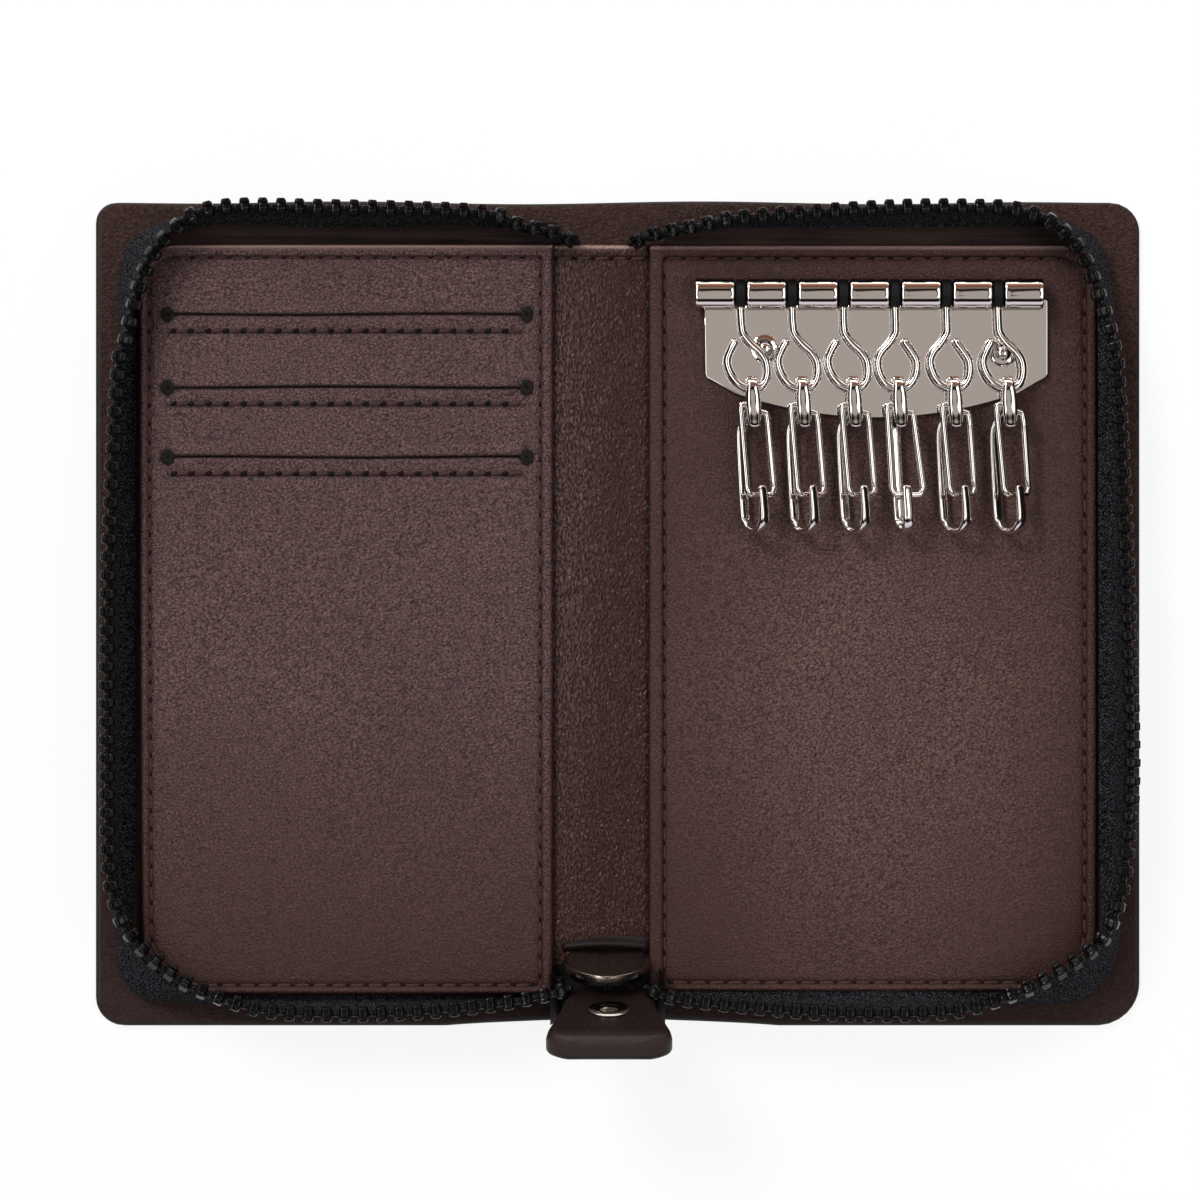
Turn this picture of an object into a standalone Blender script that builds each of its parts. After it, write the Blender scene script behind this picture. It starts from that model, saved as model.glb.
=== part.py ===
# Zip-round key and card wallet, lying open on its cover.
# Metres, +Z up, +X to the key side, +Y to the top of the open wallet.
# The origin is under the middle of the spine, on the outer face of the cover.
# The two halves fold up about lines along Y, and the slider sits at the -Y end.

import math

import bmesh
import bpy
from mathutils import Matrix, Vector

# Covers
COVER_HALF_WIDTH = 0.0836
COVER_HALF_HEIGHT = 0.0660
COVER_THICKNESS = 0.0012
COVER_TOP_RADIUS = 0.0035
COVER_BOTTOM_RADIUS = 0.0056
SPINE_END_RELIEF = 0.0012

# Fold lines: the closed wallet is twice this thick between its covers
FOLD_X = 0.0108
FOLD_Z = 0.00165
FOLD_CLEARANCE = 0.00015
LINING_START = 0.00095

# Leather sheets, from the cover up
SEAT_GAP = 0.0003
LINING_THICKNESS = 0.0005
LINER_THICKNESS = 0.0003
CARD_PANEL_THICKNESS = 0.0009
KEY_PANEL_THICKNESS = 0.0010
LINING_Z = COVER_THICKNESS + SEAT_GAP
FIRST_SHEET_Z = LINING_Z + LINING_THICKNESS + SEAT_GAP

# Inner panels
PANEL_OUTER_X = 0.0757
KEY_PANEL_OUTER_X = 0.0766
PANEL_TOP_Y = 0.0587
PANEL_BOTTOM_Y = -0.0603
PANEL_TOP_CORNER = 0.0060
PANEL_BOTTOM_CORNER = 0.0100
LINING_OUTER_X = 0.0782
LINING_TOP_Y = 0.0614
LINING_BOTTOM_Y = -0.0612
LINING_CORNER = 0.0086

# Card slits, each with a punched round hole at both ends
SLIT_LEFT_X = -0.0704
SLIT_RIGHT_X = -0.0138
SLIT_WIDTH = 0.0005
SLIT_HOLE_RADIUS = 0.00075
SLIT_TOP_Y = 0.0478
SLIT_PITCH = 0.0117
SLIT_COUNT = 3
CARD_LINER_DEPTHS = (0.0900, 0.0880, 0.0840)
CARD_LINER_MARGIN = 0.0018
CARD_LINER_RISE = 0.0030

# Zip: tape walls with a row of moulded teeth on their upper edge
TAPE_THICKNESS = 0.0007
TAPE_TOP_Z = 0.0100
TOOTH_PITCH = 0.00285
TOOTH_LENGTH = 0.0019
TOOTH_HALF_WIDTH = 0.0016
TOOTH_HALF_HEIGHT = 0.00075
CORD_HALF_WIDTH = 0.0005
CORD_HALF_HEIGHT = 0.0004
TOOTH_STEP = 0.00015
CHAIN_RISE = 0.00105
TAPE_STATIONS = 56
END_STRETCH_X = 0.0405
# Top edge and foot of the tape wall, from its top end round to the slider
ZIP_WALL = (
    ((0.0110, 0.0611), (0.0110, 0.0624)),
    ((0.0209, 0.0634), (0.0209, 0.0624)),
    ((0.0446, 0.0641), (0.0446, 0.0624)),
    ((0.0633, 0.0639), (0.0662, 0.0624)),
    ((0.0705, 0.0602), (0.0758, 0.0608)),
    ((0.0745, 0.0541), (0.0790, 0.0550)),
    ((0.0772, 0.0431), (0.0793, 0.0435)),
    ((0.0796, 0.0212), (0.0793, 0.0212)),
    ((0.0800, -0.0136), (0.0793, -0.0136)),
    ((0.0791, -0.0373), (0.0793, -0.0373)),
    ((0.0767, -0.0503), (0.0793, -0.0530)),
    ((0.0735, -0.0541), (0.0783, -0.0580)),
    ((0.0699, -0.0571), (0.0752, -0.0611)),
    ((0.0655, -0.0596), (0.0700, -0.0620)),
    ((0.0543, -0.0626), (0.0550, -0.0622)),
    ((0.0375, -0.0631), (0.0375, -0.0622)),
    ((0.0209, -0.0619), (0.0209, -0.0621)),
    ((0.0110, -0.0599), (0.0110, -0.0619)),
)

# Slider and pull, both leaning outward over the bottom edge
LEAN = math.radians(74.0)
SLIDER_X = -0.0008
SLIDER_BASE_Y = -0.0535
SLIDER_BASE_Z = 0.0035
SLIDER_MOUTH_WIDTH = 0.0125
SLIDER_TAIL_WIDTH = 0.0078
SLIDER_LENGTH = 0.0128
SLIDER_CROWN = 0.0022
SLIDER_WAIST_SHARE = 0.35
SLIDER_SHOULDER_SHARE = 0.62
SLIDER_PLATE = 0.0008
SLIDER_CHANNEL = 0.0015
SLIDER_DEPTH = 2 * SLIDER_PLATE + SLIDER_CHANNEL
SLIDER_FLANGE = 0.0009
RAIL_INSET = 0.0006
WEDGE_LENGTH = 0.0058
WEDGE_TAIL_WIDTH = 0.0012
WEDGE_MOUTH_WIDTH = 0.0040
WEDGE_INSET = 0.0004
BRIDGE_WIRE_RADIUS = 0.0006
BRIDGE_LOW = 0.0016
BRIDGE_HIGH = 0.0056
BRIDGE_REACH = 0.0023
BRIDGE_CORNER = 0.0010
LIP_HALF_WIDTH = 0.0064
LIP_DEPTH = 0.0012
LIP_HEIGHT = 0.0010
LIP_Y = -0.0529

PULL_X = -0.0005
PULL_LENGTH = 0.0226
PULL_THICKNESS = 0.0039
PULL_ROOT_WIDTH = 0.0135
PULL_TIP_WIDTH = 0.0202
PULL_NECK_LENGTH = 0.0052
PULL_FLARE_LENGTH = 0.0140
PULL_TIP_DROP = 0.0032
PULL_TIP_FLAT = 0.55
PULL_ROOT_S = 0.0066
PULL_AXIS_S = 0.0039
PULL_AXIS_DEPTH = 0.00085
PULL_FACE_DEPTH = 0.0038
PULL_EDGE_RADIUS = 0.0012
PULL_RIVET_S = 0.0098
PULL_RIVET_RADIUS = 0.0033
PULL_RIVET_SHANK = 0.0012
PULL_RIVET_DOME = 0.0008
PULL_RIVET_RIM = 0.0003
LINK_WIRE_RADIUS = 0.0005
LINK_HALF_WIDTH = 0.0034
LINK_CORNER = 0.0006
LINK_END_DEPTH = 0.0013

# Key row: a stamped plate whose top edge is rolled into seven tubes
ROW_LEFT_X = 0.0132
ROW_RIGHT_X = 0.0684
ROW_SEGMENTS = 7
ROW_GAP = 0.0020
ROW_TUBE_RADIUS = 0.00255
ROW_BORE_RADIUS = 0.0018
ROW_PLATE_THICKNESS = 0.0007
ROW_AXIS_Y = 0.05085
ROW_SLOT_DEPTH = 0.0030
ROW_PLATE_SIDE_Y = 0.0376
ROW_PLATE_CHAMFER_Y = 0.0352
ROW_PLATE_CHAMFER_X = 0.0048
ROW_PLATE_BOTTOM_Y = 0.0313
ROW_INSET_LEFT = 0.0014
ROW_OVERHANG_RIGHT = 0.0010
ROD_RADIUS = 0.0015
BUSH_BORE_RADIUS = 0.00175
BUSH_RADIUS = 0.0023
BUSH_WIDTH = 0.0015
RIVET_PLACES = ((0.0243, 0.0422), (0.0622, 0.0416))
RIVET_DOME_RADIUS = 0.0013
RIVET_DOME_HEIGHT = 0.0008

# Key hooks: a pear loop on each bush, a snap hook on the loop, a wire gate
HOOK_COUNT = 6
LOOP_WIRE_RADIUS = 0.00065
LOOP_TILT = math.radians(3.5)
LOOP_SHANK_START = 0.0026
LOOP_REACH = 0.0151
LOOP_SIDE_SHIFTS = (0.0019, 0.0017, 0.0016, 0.0006, 0.0012, 0.0016)
LOOP_SHIFT_POWERS = (2.0, 2.0, 2.8, 1.5, 2.5, 2.5)
LOOP_OPEN_LEFT = (True, True, True, False, False, True)
SNAP_TURNS = (32.0, 33.0, 34.0, 12.0, 36.0, 37.0)
SNAP_LEAN = 0.055
SNAP_BODY_SHIFT = 0.0014
SNAP_STRIP_THICKNESS = 0.0007
SNAP_HEAD_WIDTH = 0.0024
SNAP_EYE_WIDTH = 0.0018
SNAP_SHANK_WIDTH = 0.0019
SNAP_TIP_WIDTH = 0.0014
SNAP_EYE_RADIUS = 0.0015
SNAP_EYE_DEPTH = 0.0028
SNAP_HOOK_DEPTH = 0.0056
SNAP_BEND_V = 0.0199
SNAP_TIP_V = 0.0155
GATE_WIRE_RADIUS = 0.0005
GATE_HEAD_DEPTH = 0.0009
GATE_PIVOT_V = 0.0034

# Pieces that move with each half
HALF_PIECES = ("cover", "lining", "zip_tape", "zip_teeth", "tape_end", "teeth_end")
ROW_PIECES = ("key_row", "key_rod", "row_rivet_left", "row_rivet_right")
AXIS_SIZE = 0.005


def clear_scene():
    for old in list(bpy.data.objects):
        bpy.data.objects.remove(old, do_unlink=True)


def new_collection(name):
    collection = bpy.data.collections.new(name)
    bpy.context.scene.collection.children.link(collection)
    return collection


def make_material(name, colour, roughness, metallic=0.0):
    material = bpy.data.materials.new(name)
    material.use_nodes = True
    shader = material.node_tree.nodes["Principled BSDF"]
    shader.inputs["Base Color"].default_value = (*colour, 1.0)
    shader.inputs["Roughness"].default_value = roughness
    shader.inputs["Metallic"].default_value = metallic
    return material


def add_object(name, data, material):
    obj = bpy.data.objects.new(name, data)
    WALLET.objects.link(obj)
    own = material.copy()
    own.name = name
    obj.data.materials.clear()
    obj.data.materials.append(own)
    return obj


def arc(centre, radius, start, end, steps):
    angles = [start + (end - start) * k / steps for k in range(steps + 1)]
    return [(centre[0] + radius * math.cos(a), centre[1] + radius * math.sin(a)) for a in angles]


def rounded(corners, steps=5):
    """Outline through corners given as (x, y, radius), turning left all the way round."""
    points = []
    count = len(corners)
    for k, (x, y, radius) in enumerate(corners):
        here = Vector((x, y))
        if radius == 0.0:
            points.append((x, y))
            continue
        before = (Vector(corners[k - 1][:2]) - here).normalized()
        after = (Vector(corners[(k + 1) % count][:2]) - here).normalized()
        half_angle = before.angle(after) / 2
        centre = here + (before + after).normalized() * radius / math.sin(half_angle)
        first = here + before * radius / math.tan(half_angle)
        last = here + after * radius / math.tan(half_angle)
        start = math.atan2(first.y - centre.y, first.x - centre.x)
        end = math.atan2(last.y - centre.y, last.x - centre.x)
        if end < start:
            end += 2 * math.pi
        points += arc(centre, radius, start, end, steps)
    return points


def sheet(name, outline, low, thickness, material, holes=()):
    """A flat piece: the outline filled and extruded from height low."""
    curve = bpy.data.curves.new(name, "CURVE")
    curve.dimensions = "2D"
    curve.fill_mode = "BOTH"
    curve.extrude = thickness / 2
    for ring in (outline, *holes):
        spline = curve.splines.new("POLY")
        spline.points.add(len(ring) - 1)
        for point, (x, y) in zip(spline.points, ring):
            point.co = (x, y, 0.0, 1.0)
        spline.use_cyclic_u = True
    obj = add_object(name, curve, material)
    obj.location.z = low + thickness / 2
    return obj


def wire(name, points, radius, material, resolution=1):
    """A round wire with closed ends along a list of points."""
    curve = bpy.data.curves.new(name, "CURVE")
    curve.dimensions = "3D"
    curve.bevel_depth = radius
    curve.bevel_resolution = resolution
    curve.use_fill_caps = True
    spline = curve.splines.new("POLY")
    spline.points.add(len(points) - 1)
    for point, co in zip(spline.points, points):
        point.co = (*co, 1.0)
    obj = add_object(name, curve, material)
    return obj


def mesh_from_curve(obj, material):
    """Turn a curve object into a welded mesh object of the same name."""
    bpy.context.view_layer.update()
    evaluated = obj.evaluated_get(bpy.context.evaluated_depsgraph_get())
    data = bpy.data.meshes.new_from_object(evaluated)
    bm = bmesh.new()
    bm.from_mesh(data)
    bmesh.ops.remove_doubles(bm, verts=bm.verts, dist=1e-6)
    bmesh.ops.recalc_face_normals(bm, faces=bm.faces)
    bm.to_mesh(data)
    bm.free()
    place = obj.matrix_world.copy()
    name = obj.name
    bpy.data.objects.remove(obj, do_unlink=True)
    solid = add_object(name, data, material)
    solid.matrix_world = place
    return solid


def mesh_object(name, bm, material, smooth=True):
    bmesh.ops.recalc_face_normals(bm, faces=bm.faces)
    data = bpy.data.meshes.new(name)
    bm.to_mesh(data)
    bm.free()
    if smooth:
        data.shade_smooth()
        data.set_sharp_from_angle(angle=math.radians(35))
    return add_object(name, data, material)


def loft(name, sections, material):
    """A closed skin over rings of points, each ring with the same count."""
    bm = bmesh.new()
    rings = [[bm.verts.new(point) for point in ring] for ring in sections]
    count = len(rings[0])
    for low, high in zip(rings, rings[1:]):
        for k in range(count):
            following = (k + 1) % count
            bm.faces.new((low[k], low[following], high[following], high[k]))
    bm.faces.new(rings[0])
    bm.faces.new(rings[-1])
    return mesh_object(name, bm, material)


def turned(name, profile, axis_point, direction, material, steps=20):
    """A turned piece: (radius, height) points spun round the given axis."""
    bm = bmesh.new()
    verts = [bm.verts.new((radius, 0.0, height)) for radius, height in profile]
    for a, b in zip(verts, verts[1:]):
        bm.edges.new((a, b))
    if profile[0][0] > 0.0:
        bm.edges.new((verts[-1], verts[0]))
    data = bpy.data.meshes.new(name)
    bm.to_mesh(data)
    bm.free()
    obj = add_object(name, data, material)
    screw = obj.modifiers.new("turn", "SCREW")
    screw.axis = "Z"
    screw.steps = steps
    screw.render_steps = steps
    screw.use_merge_vertices = True
    screw.merge_threshold = 1e-6
    obj.rotation_euler = Vector(direction).to_track_quat("Z", "Y").to_euler()
    obj.location = axis_point
    return obj


def attach(child, parent):
    """Parent an object and keep it where it is."""
    bpy.context.view_layer.update()
    child.parent = parent
    child.matrix_parent_inverse = parent.matrix_world.inverted()


def boolean(target, cutter, operation):
    attach(cutter, target)
    cutter.hide_render = True
    cutter.display_type = "WIRE"
    for old in list(cutter.users_collection):
        old.objects.unlink(cutter)
    CUTTERS.objects.link(cutter)
    modifier = target.modifiers.new(operation.lower(), "BOOLEAN")
    modifier.operation = operation
    modifier.solver = "EXACT"
    modifier.object = cutter


def box(name, low, high, material):
    bm = bmesh.new()
    size = Vector(high) - Vector(low)
    centre = (Vector(high) + Vector(low)) / 2
    bmesh.ops.create_cube(bm, size=1.0, matrix=Matrix.Translation(centre) @ Matrix.Diagonal((*size, 1.0)))
    return mesh_object(name, bm, material, smooth=False)


def rod(name, low_x, high_x, y, z, radius, material, segments=24):
    """A cylinder along X."""
    bm = bmesh.new()
    turn = Matrix.Rotation(math.pi / 2, 4, "Y")
    move = Matrix.Translation(((low_x + high_x) / 2, y, z))
    bmesh.ops.create_cone(bm, cap_ends=True, segments=segments, radius1=radius, radius2=radius,
                          depth=high_x - low_x, matrix=move @ turn)
    return mesh_object(name, bm, material)


def smooth_path(points, per_span):
    """Catmull-Rom curve through the points, any dimension."""
    ends = [points[0] * 2 - points[1], *points, points[-1] * 2 - points[-2]]
    path = []
    for a, b, c, d in zip(ends, ends[1:], ends[2:], ends[3:]):
        for k in range(per_span):
            t = k / per_span
            path.append(0.5 * (2 * b + (c - a) * t + (2 * a - 5 * b + 4 * c - d) * t ** 2
                               + (3 * b - a - 3 * c + d) * t ** 3))
    path.append(points[-1].copy())
    return path


# Covers and linings

def mirror_outline(points, side):
    if side > 0:
        return points
    return [(-x, y) for x, y in reversed(points)]


def make_covers():
    inner = FOLD_X + FOLD_CLEARANCE
    half = rounded([
        (inner, -COVER_HALF_HEIGHT + SPINE_END_RELIEF, 0.0),
        (2.4 * FOLD_X, -COVER_HALF_HEIGHT, 0.0),
        (COVER_HALF_WIDTH, -COVER_HALF_HEIGHT, COVER_BOTTOM_RADIUS),
        (COVER_HALF_WIDTH, COVER_HALF_HEIGHT, COVER_TOP_RADIUS),
        (inner, COVER_HALF_HEIGHT, 0.0),
    ])
    for name, side in (("left_cover", -1), ("right_cover", 1)):
        sheet(name, mirror_outline(half, side), 0.0, COVER_THICKNESS, LEATHER)
    edge = FOLD_X - FOLD_CLEARANCE
    low = -COVER_HALF_HEIGHT + SPINE_END_RELIEF
    spine = [(-edge, low), (edge, low), (edge, COVER_HALF_HEIGHT), (-edge, COVER_HALF_HEIGHT)]
    sheet("spine_cover", spine, 0.0, COVER_THICKNESS, LEATHER)


def panel_outline(outer_x, low_y, high_y, low_radius, high_radius):
    inner_x = FOLD_X + LINING_START
    return rounded([
        (inner_x, low_y, 0.0),
        (outer_x, low_y, low_radius),
        (outer_x, high_y, high_radius),
        (inner_x, high_y, 0.0),
    ])


def make_linings():
    outline = panel_outline(LINING_OUTER_X, LINING_BOTTOM_Y, LINING_TOP_Y, LINING_CORNER, LINING_CORNER)
    for name, side in (("left_lining", -1), ("right_lining", 1)):
        sheet(name, mirror_outline(outline, side), LINING_Z, LINING_THICKNESS, LINING)
    edge = FOLD_X - SEAT_GAP
    spine = [(-edge, LINING_BOTTOM_Y), (edge, LINING_BOTTOM_Y), (edge, PANEL_TOP_Y), (-edge, PANEL_TOP_Y)]
    sheet("spine_lining", spine, LINING_Z, LINING_THICKNESS, LEATHER)


# Card side

def slit_outline(y):
    """A thin slit with a round hole at each end, as one ring."""
    reach = math.asin(SLIT_WIDTH / 2 / SLIT_HOLE_RADIUS)
    right = arc((SLIT_RIGHT_X, y), SLIT_HOLE_RADIUS, -math.pi + reach, math.pi - reach, 7)
    left = arc((SLIT_LEFT_X, y), SLIT_HOLE_RADIUS, reach, 2 * math.pi - reach, 7)
    return right + left


def make_card_side():
    level = FIRST_SHEET_Z
    for k in reversed(range(SLIT_COUNT)):
        top = SLIT_TOP_Y - k * SLIT_PITCH + CARD_LINER_RISE
        bottom = max(top - CARD_LINER_DEPTHS[k], PANEL_BOTTOM_Y + CARD_LINER_MARGIN)
        left = SLIT_LEFT_X - CARD_LINER_MARGIN
        right = SLIT_RIGHT_X + CARD_LINER_MARGIN
        outline = [(left, bottom), (right, bottom), (right, top), (left, top)]
        sheet(f"card_liner_{k + 1}", outline, level, LINER_THICKNESS, LINING)
        level += LINER_THICKNESS + SEAT_GAP
    outline = panel_outline(PANEL_OUTER_X, PANEL_BOTTOM_Y, PANEL_TOP_Y,
                            PANEL_BOTTOM_CORNER, PANEL_TOP_CORNER)
    slits = [slit_outline(SLIT_TOP_Y - k * SLIT_PITCH) for k in range(SLIT_COUNT)]
    sheet("card_panel", mirror_outline(outline, -1), level, CARD_PANEL_THICKNESS, LEATHER, slits)


# Zip

def zip_wall_path():
    """Top edge and foot of the tape wall as matching lists of points for the +X side."""
    pairs = [Vector((*top, *foot)) for top, foot in ZIP_WALL]
    dense = smooth_path(pairs, 12)
    lengths = [0.0]
    for a, b in zip(dense, dense[1:]):
        lengths.append(lengths[-1] + math.hypot(b[0] - a[0], b[1] - a[1]))
    return dense, lengths


def at_length(dense, lengths, wanted):
    for k in range(1, len(lengths)):
        if lengths[k] >= wanted:
            part = (wanted - lengths[k - 1]) / (lengths[k] - lengths[k - 1])
            return dense[k - 1].lerp(dense[k], part)
    return dense[-1].copy()


def tape_strip(name, side, start, end, stations):
    dense, lengths = ZIP_PATH
    bm = bmesh.new()
    previous = None
    for k in range(stations + 1):
        here = at_length(dense, lengths, start + (end - start) * k / stations)
        foot = bm.verts.new((side * here[2], here[3], LINING_Z))
        top = bm.verts.new((side * here[0], here[1], TAPE_TOP_Z))
        if previous:
            bm.faces.new((previous[0], foot, top, previous[1]))
        previous = (foot, top)
    obj = mesh_object(name, bm, TAPE)
    solid = obj.modifiers.new("thickness", "SOLIDIFY")
    solid.thickness = TAPE_THICKNESS
    solid.offset = 0.0
    return obj


def tooth_row(name, side, start, end):
    """One row of teeth on its bead cord, as a stepped loft along the tape's top edge."""
    dense, lengths = ZIP_PATH
    count = int((end - start) / TOOTH_PITCH)
    first = start + ((end - start) - count * TOOTH_PITCH) / 2
    cord = (CORD_HALF_WIDTH, CORD_HALF_HEIGHT)
    tooth = (TOOTH_HALF_WIDTH, TOOTH_HALF_HEIGHT)
    stops = []
    for k in range(count):
        centre = first + (k + 0.5) * TOOTH_PITCH
        half = TOOTH_LENGTH / 2
        stops += [(centre - half, cord), (centre - half + TOOTH_STEP, tooth),
                  (centre + half - TOOTH_STEP, tooth), (centre + half, cord)]
    sections = []
    for place, (half_width, half_height) in stops:
        here = at_length(dense, lengths, place)
        ahead = at_length(dense, lengths, place + TOOTH_LENGTH / 2)
        behind = at_length(dense, lengths, place - TOOTH_LENGTH / 2)
        along = Vector((side * (ahead[0] - behind[0]), ahead[1] - behind[1], 0.0)).normalized()
        wall = Vector((side * (here[0] - here[2]), here[1] - here[3], TAPE_TOP_Z - LINING_Z)).normalized()
        across = along.cross(wall).normalized()
        centre = Vector((side * here[0], here[1], TAPE_TOP_Z)) + wall * CHAIN_RISE
        sections.append([centre + across * half_width * a + wall * half_height * b
                         for a, b in ((-1, -1), (1, -1), (1, 1), (-1, 1))])
    return loft(name, sections, TEETH)


def make_zip():
    dense, lengths = ZIP_PATH
    total = lengths[-1]
    split = next(length for point, length in zip(dense, lengths)
                 if point[1] < 0.0 and point[0] < END_STRETCH_X)
    for name, side in (("left", -1), ("right", 1)):
        tape_strip(f"{name}_zip_tape", side, 0.0, split, TAPE_STATIONS)
        tape_strip(f"{name}_tape_end", side, split + SEAT_GAP, total, TAPE_STATIONS // 7)
        tooth_row(f"{name}_zip_teeth", side, 0.0, split)
        tooth_row(f"{name}_teeth_end", side, split + SEAT_GAP, total)


# Slider and pull: s runs up the lean, n points at the inner side

def lean_point(x, s, n):
    up = Vector((0.0, -math.cos(LEAN), math.sin(LEAN)))
    inward = Vector((0.0, math.sin(LEAN), math.cos(LEAN)))
    return Vector((x, SLIDER_BASE_Y, SLIDER_BASE_Z)) + up * s + inward * n


def lean_matrix(x, s, n):
    """Local X stays X, local Y runs up the lean, local Z points at the inner side."""
    up = Vector((0.0, -math.cos(LEAN), math.sin(LEAN)))
    inward = Vector((0.0, math.sin(LEAN), math.cos(LEAN)))
    turn = Matrix((
        (-1.0, up.x, inward.x, 0.0),
        (0.0, up.y, inward.y, 0.0),
        (0.0, up.z, inward.z, 0.0),
        (0.0, 0.0, 0.0, 1.0),
    ))
    return Matrix.Translation(lean_point(x, s, n)) @ turn


def plate_outline(length, tail_width, mouth_width):
    """Shield shape of a slider plate, narrow at the tail and rounded at the mouth."""
    tail = tail_width / 2
    mouth = mouth_width / 2
    waist_y = SLIDER_WAIST_SHARE * length
    shoulder_y = SLIDER_SHOULDER_SHARE * length
    points = [(-tail, 0.0), (tail, 0.0), (tail, waist_y), (mouth, shoulder_y)]
    for k in range(0, 9):
        angle = math.pi * k / 8
        points.append((mouth * math.cos(angle), length - SLIDER_CROWN + SLIDER_CROWN * math.sin(angle)))
    points += [(-mouth, shoulder_y), (-tail, waist_y)]
    return points


def make_slider():
    outline = plate_outline(SLIDER_LENGTH, SLIDER_TAIL_WIDTH, SLIDER_MOUTH_WIDTH)
    base = lean_matrix(SLIDER_X, 0.0, 0.0)
    body = sheet("slider_body", outline, 0.0, SLIDER_PLATE, GUNMETAL)
    body.matrix_world = base @ Matrix.Translation((0, 0, -SLIDER_PLATE / 2))
    body = mesh_from_curve(body, GUNMETAL)
    outer = sheet("outer_plate", outline, 0.0, SLIDER_PLATE, GUNMETAL)
    outer.matrix_world = base @ Matrix.Translation((0, 0, SLIDER_PLATE / 2 - SLIDER_DEPTH))
    outer = mesh_from_curve(outer, GUNMETAL)
    post = plate_outline(WEDGE_LENGTH, WEDGE_TAIL_WIDTH, WEDGE_MOUTH_WIDTH)
    wedge = sheet("wedge", post, 0.0, SLIDER_DEPTH - SLIDER_PLATE, GUNMETAL)
    wedge.matrix_world = (lean_matrix(SLIDER_X, SLIDER_LENGTH - WEDGE_LENGTH - WEDGE_INSET, 0.0)
                          @ Matrix.Translation((0, 0, -SLIDER_DEPTH / 2)))
    wedge = mesh_from_curve(wedge, GUNMETAL)
    boolean(body, wedge, "UNION")
    boolean(body, outer, "UNION")
    for side in (-1, 1):
        rail = box("rail", (-SLIDER_FLANGE / 2, RAIL_INSET, -SLIDER_DEPTH + SLIDER_PLATE / 2),
                   (SLIDER_FLANGE / 2, SLIDER_WAIST_SHARE * SLIDER_LENGTH, -SLIDER_PLATE / 2), GUNMETAL)
        inset = side * (SLIDER_TAIL_WIDTH / 2 - SLIDER_FLANGE / 2 - RAIL_INSET / 10)
        rail.matrix_world = base @ Matrix.Translation((inset, 0, 0))
        boolean(body, rail, "UNION")
    seat = SLIDER_PLATE / 2 - SLIDER_DEPTH
    shoulder = -SLIDER_DEPTH - 0.6 * BRIDGE_REACH
    crest = -SLIDER_DEPTH - BRIDGE_REACH
    bridge_path = [
        (BRIDGE_LOW, seat), (BRIDGE_LOW, shoulder), (BRIDGE_LOW + BRIDGE_CORNER, crest),
        (BRIDGE_HIGH - BRIDGE_CORNER, crest), (BRIDGE_HIGH, shoulder), (BRIDGE_HIGH, seat),
    ]
    points = [lean_point(SLIDER_X, s, n) for s, n in bridge_path]
    bridge = mesh_from_curve(wire("bridge", points, BRIDGE_WIRE_RADIUS, GUNMETAL), GUNMETAL)
    boolean(body, bridge, "UNION")


def make_slider_lip():
    outline = rounded([
        (-LIP_HALF_WIDTH, LIP_Y - LIP_DEPTH, 0.0004),
        (LIP_HALF_WIDTH, LIP_Y - LIP_DEPTH, 0.0004),
        (LIP_HALF_WIDTH, LIP_Y, 0.0004),
        (-LIP_HALF_WIDTH, LIP_Y, 0.0004),
    ], steps=3)
    sheet("slider_lip", outline, FIRST_SHEET_Z, LIP_HEIGHT, LEATHER)


def pull_outline():
    """Tab outline from its root up: a straight neck, flaring sides and a broad rounded tip."""
    root = PULL_ROOT_WIDTH / 2
    tip = PULL_TIP_WIDTH / 2
    return rounded([
        (-root, 0.0, 0.0012),
        (root, 0.0, 0.0012),
        (root, PULL_NECK_LENGTH, 0.0),
        (tip, PULL_FLARE_LENGTH, 0.0100),
        (tip, PULL_LENGTH - PULL_TIP_DROP, 0.0030),
        (PULL_TIP_FLAT * tip, PULL_LENGTH, 0.0060),
        (-PULL_TIP_FLAT * tip, PULL_LENGTH, 0.0060),
        (-tip, PULL_LENGTH - PULL_TIP_DROP, 0.0030),
        (-tip, PULL_FLARE_LENGTH, 0.0100),
        (-root, PULL_NECK_LENGTH, 0.0),
    ], steps=3)


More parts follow.
